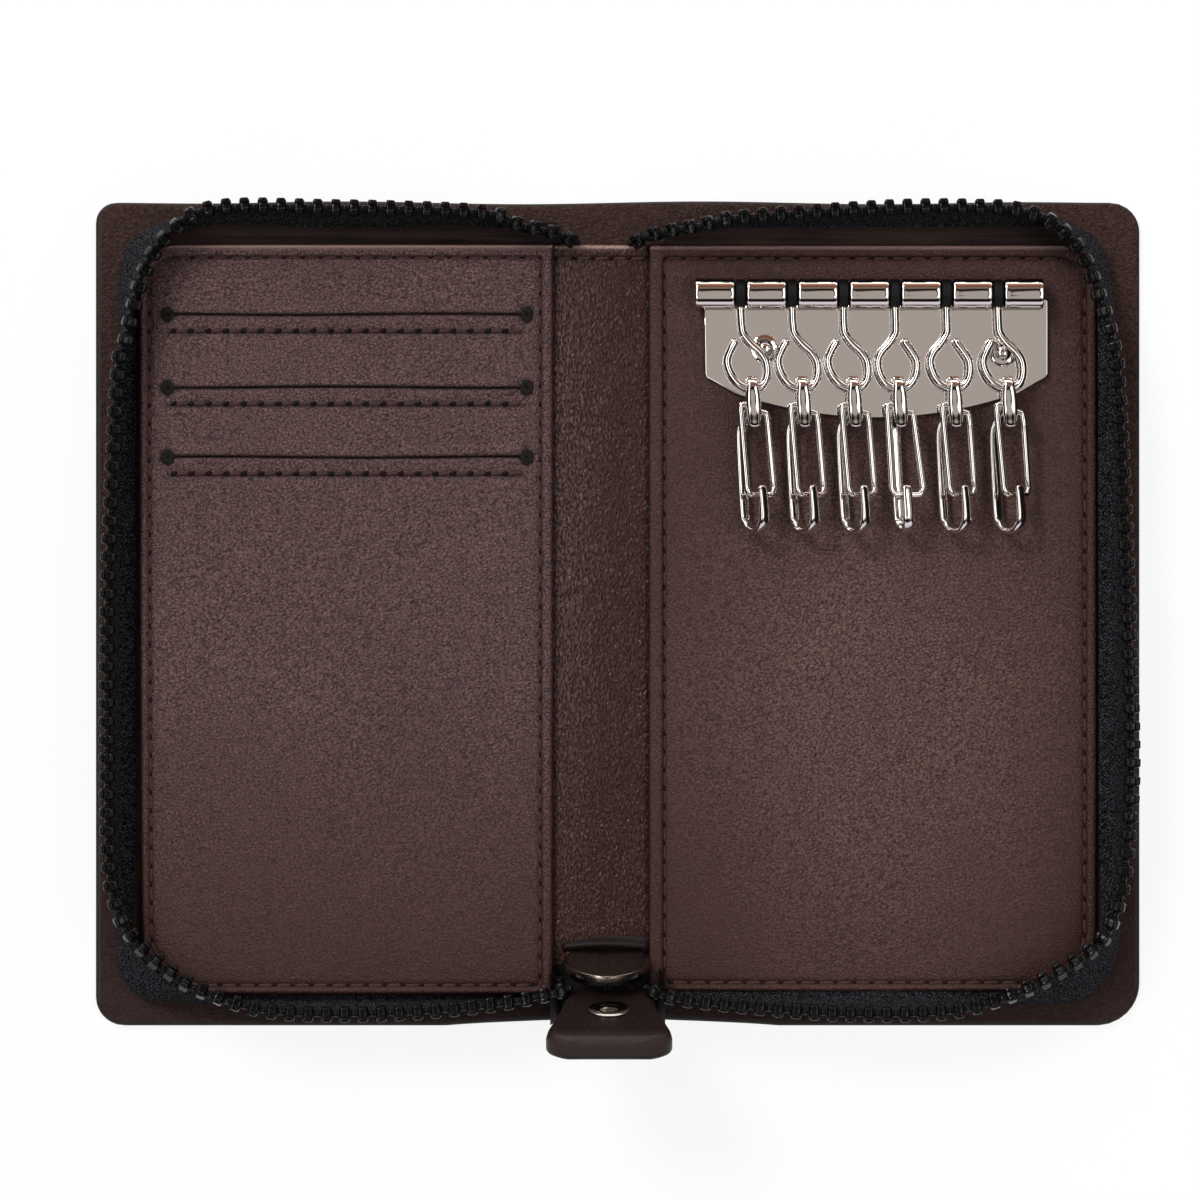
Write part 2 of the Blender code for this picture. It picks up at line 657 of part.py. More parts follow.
def make_pull():
    place = lean_matrix(PULL_X, PULL_ROOT_S, -PULL_FACE_DEPTH)
    tab = sheet("pull_tab", pull_outline(), 0.0, PULL_THICKNESS, LEATHER)
    tab.matrix_world = place @ Matrix.Translation((0, 0, -PULL_THICKNESS / 2))
    tab = mesh_from_curve(tab, LEATHER)
    soften = tab.modifiers.new("soft_edge", "BEVEL")
    soften.width = PULL_EDGE_RADIUS
    soften.segments = 2
    soften.limit_method = "ANGLE"
    soften.angle_limit = math.radians(50)
    hole = turned("pull_hole", [(0.0, PULL_THICKNESS), (PULL_RIVET_SHANK + SEAT_GAP, PULL_THICKNESS),
                                (PULL_RIVET_SHANK + SEAT_GAP, -2 * PULL_THICKNESS),
                                (0.0, -2 * PULL_THICKNESS)],
                  (0, 0, 0), (0, 0, 1), LEATHER, steps=12)
    hole.matrix_world = place @ Matrix.Translation((0, PULL_RIVET_S, 0))
    boolean(tab, hole, "DIFFERENCE")
    face = SEAT_GAP
    back = -PULL_THICKNESS - SEAT_GAP
    profile = [
        (0.0, face + PULL_RIVET_DOME),
        (0.6 * PULL_RIVET_RADIUS, face + 0.8 * PULL_RIVET_DOME),
        (PULL_RIVET_RADIUS, face + PULL_RIVET_RIM),
        (PULL_RIVET_RADIUS, face),
        (PULL_RIVET_SHANK, face),
        (PULL_RIVET_SHANK, back),
        (PULL_RIVET_RADIUS, back),
        (PULL_RIVET_RADIUS, back - PULL_RIVET_RIM),
        (0.6 * PULL_RIVET_RADIUS, back - 0.8 * PULL_RIVET_DOME),
        (0.0, back - PULL_RIVET_DOME),
    ]
    rivet = turned("pull_rivet", profile, (0, 0, 0), (0, 0, 1), NICKEL, steps=16)
    rivet.matrix_world = place @ Matrix.Translation((0, PULL_RIVET_S, 0))
    make_pull_link()


def make_pull_link():
    """A wire link through the slider's bridge, its two legs ending at the tab's root."""
    bar = -SLIDER_DEPTH - PULL_AXIS_DEPTH
    end_s = PULL_ROOT_S - 2 * SEAT_GAP
    end_n = -PULL_FACE_DEPTH - LINK_END_DEPTH
    half = ((LINK_HALF_WIDTH - LINK_CORNER, PULL_AXIS_S, bar),
            (LINK_HALF_WIDTH, PULL_AXIS_S + LINK_CORNER, bar - LINK_CORNER / 3),
            (LINK_HALF_WIDTH, end_s, end_n))
    path = [lean_point(PULL_X - x, s, n) for x, s, n in reversed(half)]
    path += [lean_point(PULL_X + x, s, n) for x, s, n in half]
    wire("pull_link", path, LINK_WIRE_RADIUS, GUNMETAL)


# Key side

def make_key_panel():
    outline = panel_outline(KEY_PANEL_OUTER_X, PANEL_BOTTOM_Y, PANEL_TOP_Y,
                            PANEL_BOTTOM_CORNER, PANEL_TOP_CORNER)
    sheet("key_panel", outline, FIRST_SHEET_Z, KEY_PANEL_THICKNESS, LEATHER)


def row_plate_outline():
    left = ROW_LEFT_X + ROW_INSET_LEFT
    right = ROW_RIGHT_X + ROW_OVERHANG_RIGHT
    left_foot = left + ROW_PLATE_CHAMFER_X
    right_foot = right - ROW_PLATE_CHAMFER_X
    middle = (left_foot + right_foot) / 2
    half = (right_foot - left_foot) / 2
    points = [(left, ROW_PLATE_SIDE_Y), (left_foot, ROW_PLATE_CHAMFER_Y)]
    steps = 8
    for k in range(1, steps):
        across = -1 + 2 * k / steps
        fall = (ROW_PLATE_CHAMFER_Y - ROW_PLATE_BOTTOM_Y) * (1 - across ** 2)
        points.append((middle + half * across, ROW_PLATE_CHAMFER_Y - fall))
    points += [(right_foot, ROW_PLATE_CHAMFER_Y), (right, ROW_PLATE_SIDE_Y)]
    points += [(right, ROW_AXIS_Y - ROW_SLOT_DEPTH), (ROW_RIGHT_X, ROW_AXIS_Y - ROW_SLOT_DEPTH),
               (ROW_RIGHT_X, ROW_AXIS_Y), (left, ROW_AXIS_Y)]
    return points


def make_key_row():
    plate = sheet("key_row", row_plate_outline(), ROW_PLATE_Z, ROW_PLATE_THICKNESS, NICKEL)
    plate = mesh_from_curve(plate, NICKEL)
    tube = rod("row_tube", ROW_LEFT_X, ROW_RIGHT_X, ROW_AXIS_Y, ROW_AXIS_Z, ROW_TUBE_RADIUS, NICKEL)
    boolean(plate, tube, "UNION")
    bore = rod("row_bore", ROW_LEFT_X - ROW_GAP, ROW_RIGHT_X + ROW_GAP, ROW_AXIS_Y, ROW_AXIS_Z,
               ROW_BORE_RADIUS, NICKEL, segments=20)
    boolean(plate, bore, "DIFFERENCE")
    for number in range(1, ROW_SEGMENTS):
        low = hook_x(number) - ROW_GAP / 2
        slot = box("row_slot", (low, ROW_AXIS_Y - ROW_SLOT_DEPTH, ROW_PLATE_Z - 0.001),
                   (low + ROW_GAP, ROW_AXIS_Y + 2 * ROW_TUBE_RADIUS, ROW_AXIS_Z + 2 * ROW_TUBE_RADIUS),
                   NICKEL)
        boolean(plate, slot, "DIFFERENCE")
    rod("key_rod", ROW_LEFT_X + 0.0002, ROW_RIGHT_X - 0.0002, ROW_AXIS_Y, ROW_AXIS_Z, ROD_RADIUS,
        DARK_PLASTIC, segments=16)


def make_row_rivets():
    top = ROW_PLATE_Z + ROW_PLATE_THICKNESS + SEAT_GAP
    profile = [(0.0, RIVET_DOME_HEIGHT), (0.55 * RIVET_DOME_RADIUS, 0.82 * RIVET_DOME_HEIGHT),
               (0.9 * RIVET_DOME_RADIUS, 0.4 * RIVET_DOME_HEIGHT), (RIVET_DOME_RADIUS, 0.0), (0.0, 0.0)]
    for name, (x, y) in zip(("row_rivet_left", "row_rivet_right"), RIVET_PLACES):
        turned(name, profile, (x, y, top), (0, 0, 1), NICKEL, steps=14)


def loop_path(number):
    """Pear loop in its own plane, hanging to one side: (across, distance from the rod's axis)."""
    turn = 1.0 if LOOP_OPEN_LEFT[number - 1] else -1.0
    shape = (
        (0.0, LOOP_SHANK_START), (0.0, 0.0052), (0.00015, 0.0064), (0.0011, 0.0079), (0.0024, 0.0093),
        (0.0031, 0.0109), (0.0028, 0.0130), (0.0017, 0.0146), (0.0, LOOP_REACH), (-0.0017, 0.0146),
        (-0.0028, 0.0130), (-0.0031, 0.0109), (-0.0024, 0.0093), (-0.0014, 0.0078),
    )
    path = []
    for across, away in shape:
        drift = LOOP_SIDE_SHIFTS[number - 1] * (away / LOOP_REACH) ** LOOP_SHIFT_POWERS[number - 1]
        path.append(Vector((turn * across + drift, away)))
    return smooth_path(path, 2)


def make_loop(number, x):
    points = []
    for across, away in loop_path(number):
        points.append((x + across, ROW_AXIS_Y - away * math.cos(LOOP_TILT),
                       ROW_AXIS_Z + away * math.sin(LOOP_TILT)))
    wire(f"hook_loop_{number}", points, LOOP_WIRE_RADIUS, NICKEL)


def make_bush(number, x):
    half = BUSH_WIDTH / 2
    profile = [(BUSH_BORE_RADIUS, half), (BUSH_RADIUS, half), (BUSH_RADIUS, -half), (BUSH_BORE_RADIUS, -half)]
    turned(f"hook_bush_{number}", profile, (x, ROW_AXIS_Y, ROW_AXIS_Z), (1, 0, 0), DARK_PLASTIC, steps=16)


def snap_point(x, turn, across, down, outward):
    """A point of a snap hook: measured from its eye, with the hook turned about its long axis."""
    return Vector((
        x + SNAP_LEAN * down + across * math.cos(turn) + (outward - SNAP_BODY_SHIFT) * math.sin(turn),
        ROW_AXIS_Y - LOOP_REACH * math.cos(LOOP_TILT) - down,
        ROW_AXIS_Z + LOOP_REACH * math.sin(LOOP_TILT) - across * math.sin(turn) + outward * math.cos(turn),
    ))


def snap_strip_path():
    """Centre line of the bent strip as (down, outward from the eye, width, share of the turn)."""
    eye = SNAP_EYE_RADIUS
    head = SNAP_HEAD_WIDTH
    path = [(0.0056, 0.0008, 0.7 * head, 0.0), (0.0034, 0.0012, 0.9 * head, 0.0)]
    path.append((0.0014, 0.0014, head, 0.0))
    for degrees in range(75, -136, -30):
        angle = math.radians(degrees)
        path.append((-eye * math.cos(angle), eye * math.sin(angle), SNAP_EYE_WIDTH, 0.0))
    shank = -SNAP_EYE_DEPTH
    width = SNAP_SHANK_WIDTH
    path += [(0.0026, -0.0012, width, 0.3), (0.0048, -0.0020, width, 0.7)]
    path += [(0.0072, shank + 0.0002, width, 1.0), (SNAP_BEND_V, shank, width, 1.0)]
    bend = SNAP_HOOK_DEPTH / 2
    for degrees in (30, 60, 90, 120, 150):
        angle = math.radians(degrees)
        path.append((SNAP_BEND_V + bend * math.sin(angle), shank + bend - bend * math.cos(angle),
                     width - 0.0002 * degrees / 150, 1.0))
    path.append((SNAP_BEND_V, shank + SNAP_HOOK_DEPTH, 0.9 * width, 1.0))
    path.append((SNAP_TIP_V, shank + SNAP_HOOK_DEPTH - 0.0002, SNAP_TIP_WIDTH, 1.0))
    return path


def make_snap(number, x, turn):
    path = snap_strip_path()
    flat = [Vector((v, w)) for v, w, _, _ in path]
    sections = []
    for k, (v, w, width, share) in enumerate(path):
        before = flat[max(k - 1, 0)]
        after = flat[min(k + 1, len(flat) - 1)]
        along = (after - before).normalized()
        normal = Vector((-along.y, along.x))
        half = SNAP_STRIP_THICKNESS / 2
        ring = []
        for a, b in ((-1, -1), (1, -1), (1, 1), (-1, 1)):
            place = Vector((v, w)) + normal * half * b
            ring.append(snap_point(x, turn * share, width / 2 * a, place.x, place.y))
        sections.append(ring)
    loft(f"snap_hook_{number}", sections, NICKEL)


def make_gate(number, x, turn):
    """Spring wire gate: both ends sit beside the head, the cross bar behind the tip."""
    bar = -SNAP_EYE_DEPTH + SNAP_HOOK_DEPTH - SNAP_STRIP_THICKNESS / 2 - GATE_WIRE_RADIUS - 0.0005
    head = GATE_HEAD_DEPTH
    shape = (
        (-0.0018, 0.0027, head), (-0.0021, 0.0031, head), (-0.0021, 0.0042, head + 0.0001),
        (-0.0021, 0.0158, bar - 0.0001), (-0.0018, 0.0166, bar), (-0.0011, 0.0169, bar),
        (0.0020, 0.0169, bar), (0.0027, 0.0166, bar), (0.0030, 0.0158, bar - 0.0001),
        (0.0021, 0.0056, head + 0.0001), (0.0020, 0.0044, head), (0.0018, 0.0040, head),
    )
    points = [snap_point(x, turn * (v > 0.5 * SNAP_TIP_V), u, v, w) for u, v, w in shape]
    wire(f"snap_gate_{number}", points, GATE_WIRE_RADIUS, NICKEL)


def hook_x(number):
    """Middle of the gap in the key row that a hook's bush sits in."""
    segment = (ROW_RIGHT_X - ROW_LEFT_X - (ROW_SEGMENTS - 1) * ROW_GAP) / ROW_SEGMENTS
    return ROW_LEFT_X + number * segment + (number - 0.5) * ROW_GAP


def make_hooks():
    for number in range(1, HOOK_COUNT + 1):
        x = hook_x(number)
        eye_x = x + LOOP_SIDE_SHIFTS[number - 1]
        turn = math.radians(SNAP_TURNS[number - 1])
        make_bush(number, x)
        make_loop(number, x)
        make_snap(number, eye_x, turn)
        make_gate(number, eye_x, turn)


# Joint axes: each empty's X or Y axis is the line that its pieces turn about

def make_axis(name, place, parent, pieces, turn=0.0):
    axis = bpy.data.objects.new(name, None)
    WALLET.objects.link(axis)
    axis.empty_display_size = AXIS_SIZE
    axis.location = place
    axis.rotation_euler.y = turn
    if parent:
        attach(axis, parent)
    for piece in pieces:
        attach(bpy.data.objects[piece], axis)
    return axis


def make_joint_axes():
    liners = [f"card_liner_{k + 1}" for k in range(SLIT_COUNT)]
    halves = {}
    for side, name, pieces in ((-1, "left", ["card_panel", *liners]),
                               (1, "right", ["key_panel", *ROW_PIECES])):
        pieces += [f"{name}_{piece}" for piece in HALF_PIECES]
        halves[name] = make_axis(f"{name}_fold_axis", (side * FOLD_X, 0.0, FOLD_Z), None, pieces)
    bar = lean_point(PULL_X, PULL_AXIS_S, -SLIDER_DEPTH - PULL_AXIS_DEPTH)
    make_axis("pull_axis", bar, None, ("pull_tab", "pull_rivet", "pull_link"))
    for number in range(1, HOOK_COUNT + 1):
        x = hook_x(number)
        eye_x = x + LOOP_SIDE_SHIFTS[number - 1]
        turn = math.radians(SNAP_TURNS[number - 1])
        hook = make_axis(f"hook_{number}_axis", (x, ROW_AXIS_Y, ROW_AXIS_Z), halves["right"],
                         (f"hook_bush_{number}", f"hook_loop_{number}"))
        snap = make_axis(f"snap_{number}_axis", snap_point(eye_x, 0.0, 0.0, 0.0, 0.0), hook,
                         (f"snap_hook_{number}",))
        make_axis(f"gate_{number}_axis", snap_point(eye_x, 0.0, 0.0, GATE_PIVOT_V, GATE_HEAD_DEPTH), snap,
                  (f"snap_gate_{number}",), turn)


clear_scene()
WALLET = new_collection("zip_wallet")
CUTTERS = new_collection("cutters")
LEATHER = make_material("brown_leather", (0.075, 0.035, 0.030), 0.45)
LINING = make_material("dark_lining", (0.040, 0.018, 0.016), 0.6)
TAPE = make_material("black_tape", (0.006, 0.006, 0.007), 0.8)
TEETH = make_material("black_teeth", (0.012, 0.012, 0.012), 0.35)
GUNMETAL = make_material("gunmetal", (0.10, 0.09, 0.085), 0.25, 1.0)
NICKEL = make_material("nickel", (0.75, 0.74, 0.72), 0.12, 1.0)
DARK_PLASTIC = make_material("black_plastic", (0.010, 0.010, 0.010), 0.4)
ROW_PLATE_Z = FIRST_SHEET_Z + KEY_PANEL_THICKNESS + SEAT_GAP
ROW_AXIS_Z = ROW_PLATE_Z + ROW_TUBE_RADIUS
ZIP_PATH = zip_wall_path()

make_covers()
make_linings()
make_card_side()
make_key_panel()
make_zip()
make_slider()
make_slider_lip()
make_pull()
make_key_row()
make_row_rivets()
make_hooks()
make_joint_axes()
bpy.context.view_layer.update()
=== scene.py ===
# An open zip-round key and card wallet, seen from straight above.
# Metres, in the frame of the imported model: +X to the key side, +Y to the top edge.
# A side is -1 for the card half and 1 for the key half.

import math

import bmesh
import bpy
import numpy as np
from mathutils import Matrix, Vector


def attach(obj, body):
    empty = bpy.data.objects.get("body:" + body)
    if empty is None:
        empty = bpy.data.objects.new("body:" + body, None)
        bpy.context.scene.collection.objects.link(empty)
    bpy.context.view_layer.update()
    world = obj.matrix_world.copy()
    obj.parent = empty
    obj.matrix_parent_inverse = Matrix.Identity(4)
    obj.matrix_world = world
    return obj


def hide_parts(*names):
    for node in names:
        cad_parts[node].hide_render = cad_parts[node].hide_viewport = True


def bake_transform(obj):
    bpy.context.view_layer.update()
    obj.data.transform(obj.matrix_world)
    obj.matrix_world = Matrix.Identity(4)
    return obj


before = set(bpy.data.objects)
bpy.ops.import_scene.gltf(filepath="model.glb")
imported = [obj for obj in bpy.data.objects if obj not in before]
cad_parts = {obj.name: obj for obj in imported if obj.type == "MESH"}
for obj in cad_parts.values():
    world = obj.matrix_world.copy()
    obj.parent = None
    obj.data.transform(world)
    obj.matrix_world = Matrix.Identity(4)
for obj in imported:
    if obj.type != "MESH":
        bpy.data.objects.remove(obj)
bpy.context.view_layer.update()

# Camera, lamps and floor
CAMERA_PLACE = (-0.00192, 0.0022, 0.8)
CAMERA_LENS = 150.0
CAMERA_SENSOR = 36.0
KEY_PLACE = (-0.45, 0.55, 0.75)
KEY_SIZE = (0.5, 0.4)
KEY_POWER = 4.1
FILL_PLACE = (0.65, -0.10, 0.60)
FILL_SIZE = (0.4, 0.6)
FILL_POWER = 2.5
FLOOR_Z = -0.0003
FLOOR_GLOW = 0.86

# Sides, and how far from the middle leather and zip begin and end to turn with a fold
SIDES = {-1: "left", 1: "right"}
LEATHER_ZONE = {-1: (0.0063, 0.0153), 1: (0.0074, 0.0142)}
CHAIN_ZONE = (0.0070, 0.0310)
FOLD_X = 0.0108
FOLD_Z = 0.00165

# Covers
COVER_OUTER_X = {-1: 0.0825, 1: 0.0843}
COVER_Y = (-0.0658, 0.0657)
COVER_THICKNESS = 0.0012
COVER_TOP_RADIUS = {-1: 0.0033, 1: 0.0047}
COVER_LOW_RADIUS = {-1: 0.0046, 1: 0.0068}
COVER_RELIEF = 0.0012
COVER_RELIEF_REACH = 0.026
COVER_ROLL = 0.00045
COVER_ROLL_WIDTH = 0.0006
PAINT_WIDTH = {-1: 0.00085, 1: 0.00060}
PAINT_ENDS = (0.0008, 0.0004)

# Linings and panels
LINING_LOW = 0.0015
LINING_TOP = 0.0020
LINING_INNER_X = 0.0086
LINING_OUTER_X = {-1: 0.0782, 1: 0.0796}
LINING_Y = (-0.0612, 0.0624)
LINING_RADIUS = 0.0086
LINING_WELT_Y = 0.0601
PANEL_NAMES = {-1: "card_panel", 1: "key_panel"}
PANEL_X = {-1: (-0.0751, -0.0094), 1: (0.0058, 0.0773)}
PANEL_SLANT = {-1: 0.0045, 1: 0.0}
PANEL_Y = {-1: (-0.0606, 0.0588), 1: (-0.0603, 0.0588)}
PANEL_TOP = {-1: 0.00478, 1: 0.00308}
PANEL_BASE = 0.00215
PANEL_RADII = (0.0098, 0.0060)
PANEL_ROLL = 0.0006
HEM_Y = 0.0567
HEM_FOLD_Y = PANEL_Y[-1][1] - 0.00030
STITCH_X = {-1: (-0.0735, -0.0114), 1: (0.0083, 0.0754)}
STITCH_Y = {-1: (-0.0591, HEM_Y), 1: (-0.0588, HEM_Y)}
STITCH_RADII = (0.0083, 0.0045)
STITCH_PITCH = 0.0029
STITCH_LENGTH = 0.84 * STITCH_PITCH
STITCH_RADIUS = 0.00034
HOLE_LENGTH = 0.0008

# Card slits
SLIT_YS = (0.0476, 0.0360, 0.0249)
SLIT_X = (-0.0706, -0.0136)
SLIT_DEPTH = 0.00050
SLIT_STITCH_DROP = 0.0026
SLIT_STITCH_PITCH = 0.0027
EYELET_RADIUS = 0.00115
EYELET_THREADS = 22
EYELET_STRETCH = 1.18

# Wrinkled leather inside the spine
SPINE_X = (-0.0098, 0.0062)
SPINE_SPLIT_X = -0.0010
SPINE_Y = (-0.0560, 0.0588)

# Zip: tooth centre x, y, z and tape foot x, y, with x away from the spine
TAPE_HALF = 0.00028
TAPE_STEP = 0.0012
TAPE_FLANGE = 0.0034
TAPE_TOP_FLANGE = 0.0006
TAPE_TURN = Vector((0.7518, 0.0, -0.6594)) * 0.0090
TOOTH_PITCH = 0.00285
TOOTH_SIZE = (0.00165, 0.0024, 0.0015)
CHAIN_RISE = 0.00105
CORD_RADIUS = 0.00055
CORD_DROP = 0.0004
ZIP_ROWS = {
    -1: ((0.0055, 0.0590, 0.0044, 0.0055, 0.0600), (0.0087, 0.0603, 0.0068, 0.0087, 0.0606),
         (0.0150, 0.0616, 0.0094, 0.0150, 0.0616), (0.0209, 0.0634, 0.0110, 0.0209, 0.0624),
         (0.0446, 0.0641, 0.0110, 0.0446, 0.0624), (0.0630, 0.0640, 0.0110, 0.0662, 0.0624),
         (0.0699, 0.0601, 0.0109, 0.0752, 0.0608), (0.0740, 0.0540, 0.0109, 0.0785, 0.0550),
         (0.0769, 0.0431, 0.0110, 0.0790, 0.0435), (0.0781, 0.0371, 0.0111, 0.0792, 0.0371),
         (0.0795, 0.0054, 0.0111, 0.0793, 0.0054), (0.0797, -0.0200, 0.0111, 0.0793, -0.0200),
         (0.0794, -0.0396, 0.0111, 0.0793, -0.0396), (0.0780, -0.0470, 0.0110, 0.0793, -0.0480),
         (0.0763, -0.0503, 0.0109, 0.0793, -0.0530), (0.0731, -0.0539, 0.0109, 0.0783, -0.0580),
         (0.0695, -0.0568, 0.0109, 0.0752, -0.0611), (0.0651, -0.0594, 0.0109, 0.0700, -0.0620),
         (0.0543, -0.0626, 0.0110, 0.0550, -0.0622), (0.0375, -0.0631, 0.0110, 0.0375, -0.0622),
         (0.0209, -0.0619, 0.0112, 0.0209, -0.0621), (0.0110, -0.0602, 0.0118, 0.0115, -0.0617),
         (0.0066, -0.0589, 0.0128, 0.0080, -0.0612)),
    1: ((0.0028, 0.0588, 0.0040, 0.0034, 0.0600), (0.0066, 0.0602, 0.0064, 0.0075, 0.0606),
        (0.0140, 0.0614, 0.0094, 0.0145, 0.0616), (0.0209, 0.0626, 0.0110, 0.0209, 0.0622),
        (0.0446, 0.0641, 0.0110, 0.0446, 0.0624), (0.0600, 0.0641, 0.0110, 0.0610, 0.0624),
        (0.0643, 0.0637, 0.0110, 0.0672, 0.0624), (0.0689, 0.0622, 0.0110, 0.0740, 0.0618),
        (0.0729, 0.0588, 0.0109, 0.0778, 0.0590), (0.0757, 0.0537, 0.0109, 0.0796, 0.0545),
        (0.0790, 0.0431, 0.0110, 0.0806, 0.0435), (0.0800, 0.0339, 0.0111, 0.0808, 0.0339),
        (0.0814, 0.0006, 0.0112, 0.0810, 0.0006), (0.0820, -0.0250, 0.0112, 0.0810, -0.0250),
        (0.0809, -0.0403, 0.0112, 0.0810, -0.0403), (0.0799, -0.0456, 0.0111, 0.0810, -0.0480),
        (0.0782, -0.0502, 0.0110, 0.0808, -0.0535), (0.0755, -0.0533, 0.0109, 0.0790, -0.0582),
        (0.0709, -0.0563, 0.0109, 0.0758, -0.0612), (0.0655, -0.0592, 0.0109, 0.0705, -0.0623),
        (0.0543, -0.0626, 0.0110, 0.0550, -0.0622), (0.0375, -0.0631, 0.0110, 0.0375, -0.0622),
        (0.0209, -0.0619, 0.0112, 0.0209, -0.0621), (0.0100, -0.0606, 0.0116, 0.0115, -0.0617),
        (0.0052, -0.0588, 0.0128, 0.0080, -0.0612)),
}

# Slider and pull, which lean back: s runs up the slider from its foot, n towards the wallet's inside
LEAN = math.radians(74.0)
LEAN_UP = Vector((0.0, -math.cos(LEAN), math.sin(LEAN)))
LEAN_IN = Vector((0.0, math.sin(LEAN), math.cos(LEAN)))
SLIDER_X = -0.0008
SLIDER_BASE_Y = -0.0535
SLIDER_BASE_Z = 0.0035
SLIDER_HALF_WIDTHS = ((0.0, 0.0049), (0.001, 0.0059), (0.003, 0.0065), (0.0055, 0.00675), (0.008, 0.0063),
                      (0.010, 0.0052), (0.0115, 0.0036), (0.0124, 0.0018), (0.0128, 0.0))
SLIDER_LENGTH = SLIDER_HALF_WIDTHS[-1][0]
SLIDER_BACK_SHARES = (0.88, 0.66)
SLIDER_PLATE = 0.0008
SLIDER_DEPTH = 0.0031
POST_OUTLINE = ((-0.0008, 0.0030), (0.0008, 0.0030), (0.0018, 0.0070), (0.0, 0.0080), (-0.0018, 0.0070))
BRIDGE_ROUTE = ((0.0016, -0.0027), (0.0016, -0.0042), (0.0024, -0.0054), (0.0048, -0.0054),
                (0.0056, -0.0042), (0.0056, -0.0027))
BRIDGE_RADIUS = 0.0006
LIP_X = -0.0011
LIP_Y = -0.0530
LIP_HALF_WIDTH = 0.0070
LIP_HEIGHT = 0.0017
GUSSET_X = (-0.0098, 0.0084)
GUSSET_Y = (-0.0642, -0.0532)
GUSSET_WALL = 0.0070
PULL_X = -0.0005
PULL_ROOT_S = 0.0066
PULL_LENGTH = 0.0226
PULL_THICKNESS = 0.0039
PULL_FACE_DEPTH = 0.0038
PULL_EDGE_RADIUS = 0.0017
PULL_HALF_WIDTHS = ((0.0, 0.0069), (0.0032, 0.0071), (0.0080, 0.0077), (0.0130, 0.0087), (0.0170, 0.0096),
                    (0.0192, 0.0098), (0.0205, 0.0094), (0.0215, 0.0083), (0.0222, 0.0066), (0.0226, 0.0040))
PULL_RIVET_S = 0.0098
PULL_RIVET_RADIUS = 0.0033
LINK_RADIUS = 0.0005
LINK_HALF = ((0.0028, 0.0039, -0.00395), (0.0034, 0.0045, -0.00415), (0.0034, 0.0060, -0.0051),
             (0.0034, 0.0072, -0.0056))

# Key row
ROW_LEFT_X = 0.0132
ROW_RIGHT_X = 0.0684
ROW_SEGMENTS = 7
ROW_GAP = 0.0020
ROW_SEGMENT = (ROW_RIGHT_X - ROW_LEFT_X - (ROW_SEGMENTS - 1) * ROW_GAP) / ROW_SEGMENTS
ROW_AXIS_Y = 0.05085
ROW_AXIS_Z = 0.00615
ROW_TUBE_RADIUS = 0.00255
ROW_BORE_RADIUS = 0.0018
ROW_TUBE_LIP = 0.0003
ROW_TUBE_SQUARENESS = 2.5
ROW_PLATE_X = (0.0146, 0.0694)
ROW_PLATE_TOP = ROW_AXIS_Y - 0.0006
ROW_PLATE_SIDE_Y = 0.0376
ROW_PLATE_FOOT_Y = 0.0352
ROW_PLATE_LOW_Y = 0.0313
ROW_PLATE_CUT = 0.0048
ROW_PLATE_Z = 0.0036
ROW_PLATE_THICKNESS = 0.0007
ROD_RADIUS = 0.0015
BUSH_RADIUS = 0.0023
BUSH_BORE = 0.00175
BUSH_WIDTH = 0.0016
RIVET_PLACES = {"left": (0.0243, 0.0422), "right": (0.0622, 0.0416)}
RIVET_DOME = ((0.0, 0.0009), (0.0005, 0.00086), (0.0009, 0.0007), (0.00125, 0.00035), (0.0013, 0.0002),
              (0.0021, 0.00012), (0.0023, 0.0), (0.0, 0.0))

# Hooks, each as in the photo: how far its loop slides, on which power of the way, and its turn in degrees
LOOP_TILT = math.radians(3.5)
LOOP_REACH = 0.0151
LOOP_RADIUS = 0.00065
LOOP_SHAPE = ((0.0, 0.0022), (0.0, 0.0052), (0.00015, 0.0064), (0.0011, 0.0079), (0.0024, 0.0093),
              (0.0031, 0.0109), (0.0028, 0.0130), (0.0017, 0.0146), (0.0, LOOP_REACH), (-0.0017, 0.0146),
              (-0.0028, 0.0130), (-0.0031, 0.0109), (-0.0024, 0.0093), (-0.0014, 0.0078))
LOOP_SIDE_SHIFTS = (0.0019, 0.0017, 0.0016, 0.0006, 0.0012, 0.0016)
LOOP_SHIFT_POWERS = (2.0, 2.0, 2.8, 1.5, 2.5, 2.5)
LOOP_OPEN_SIDES = (1, 1, 1, -1, -1, 1)
SNAP_TURNS = (32.0, 33.0, 34.0, 12.0, 36.0, 37.0)
SNAP_LEAN = 0.055
SNAP_BODY_SHIFT = 0.0014
SNAP_RING_RADIUS = 0.0015
SNAP_EYE_DEPTH = 0.0028
SNAP_HOOK_DEPTH = 0.0056
SNAP_BEND_V = 0.0199
SNAP_TIP_V = 0.0155
SNAP_SIDES = 16
GATE_RADIUS = 0.0005
GATE_HEAD = 0.0009
GATE_BAR = SNAP_HOOK_DEPTH - SNAP_EYE_DEPTH - GATE_RADIUS - 0.00085

# Marks on leather: the colour of painted shade in cuts, holes, seams and hollows, and of a painted highlight
# on a folded edge
PAINTED_SHADE_COLOUR = (0.004, 0.002, 0.002)
PAINTED_HIGHLIGHT_COLOUR = (0.32, 0.21, 0.19)


# Materials

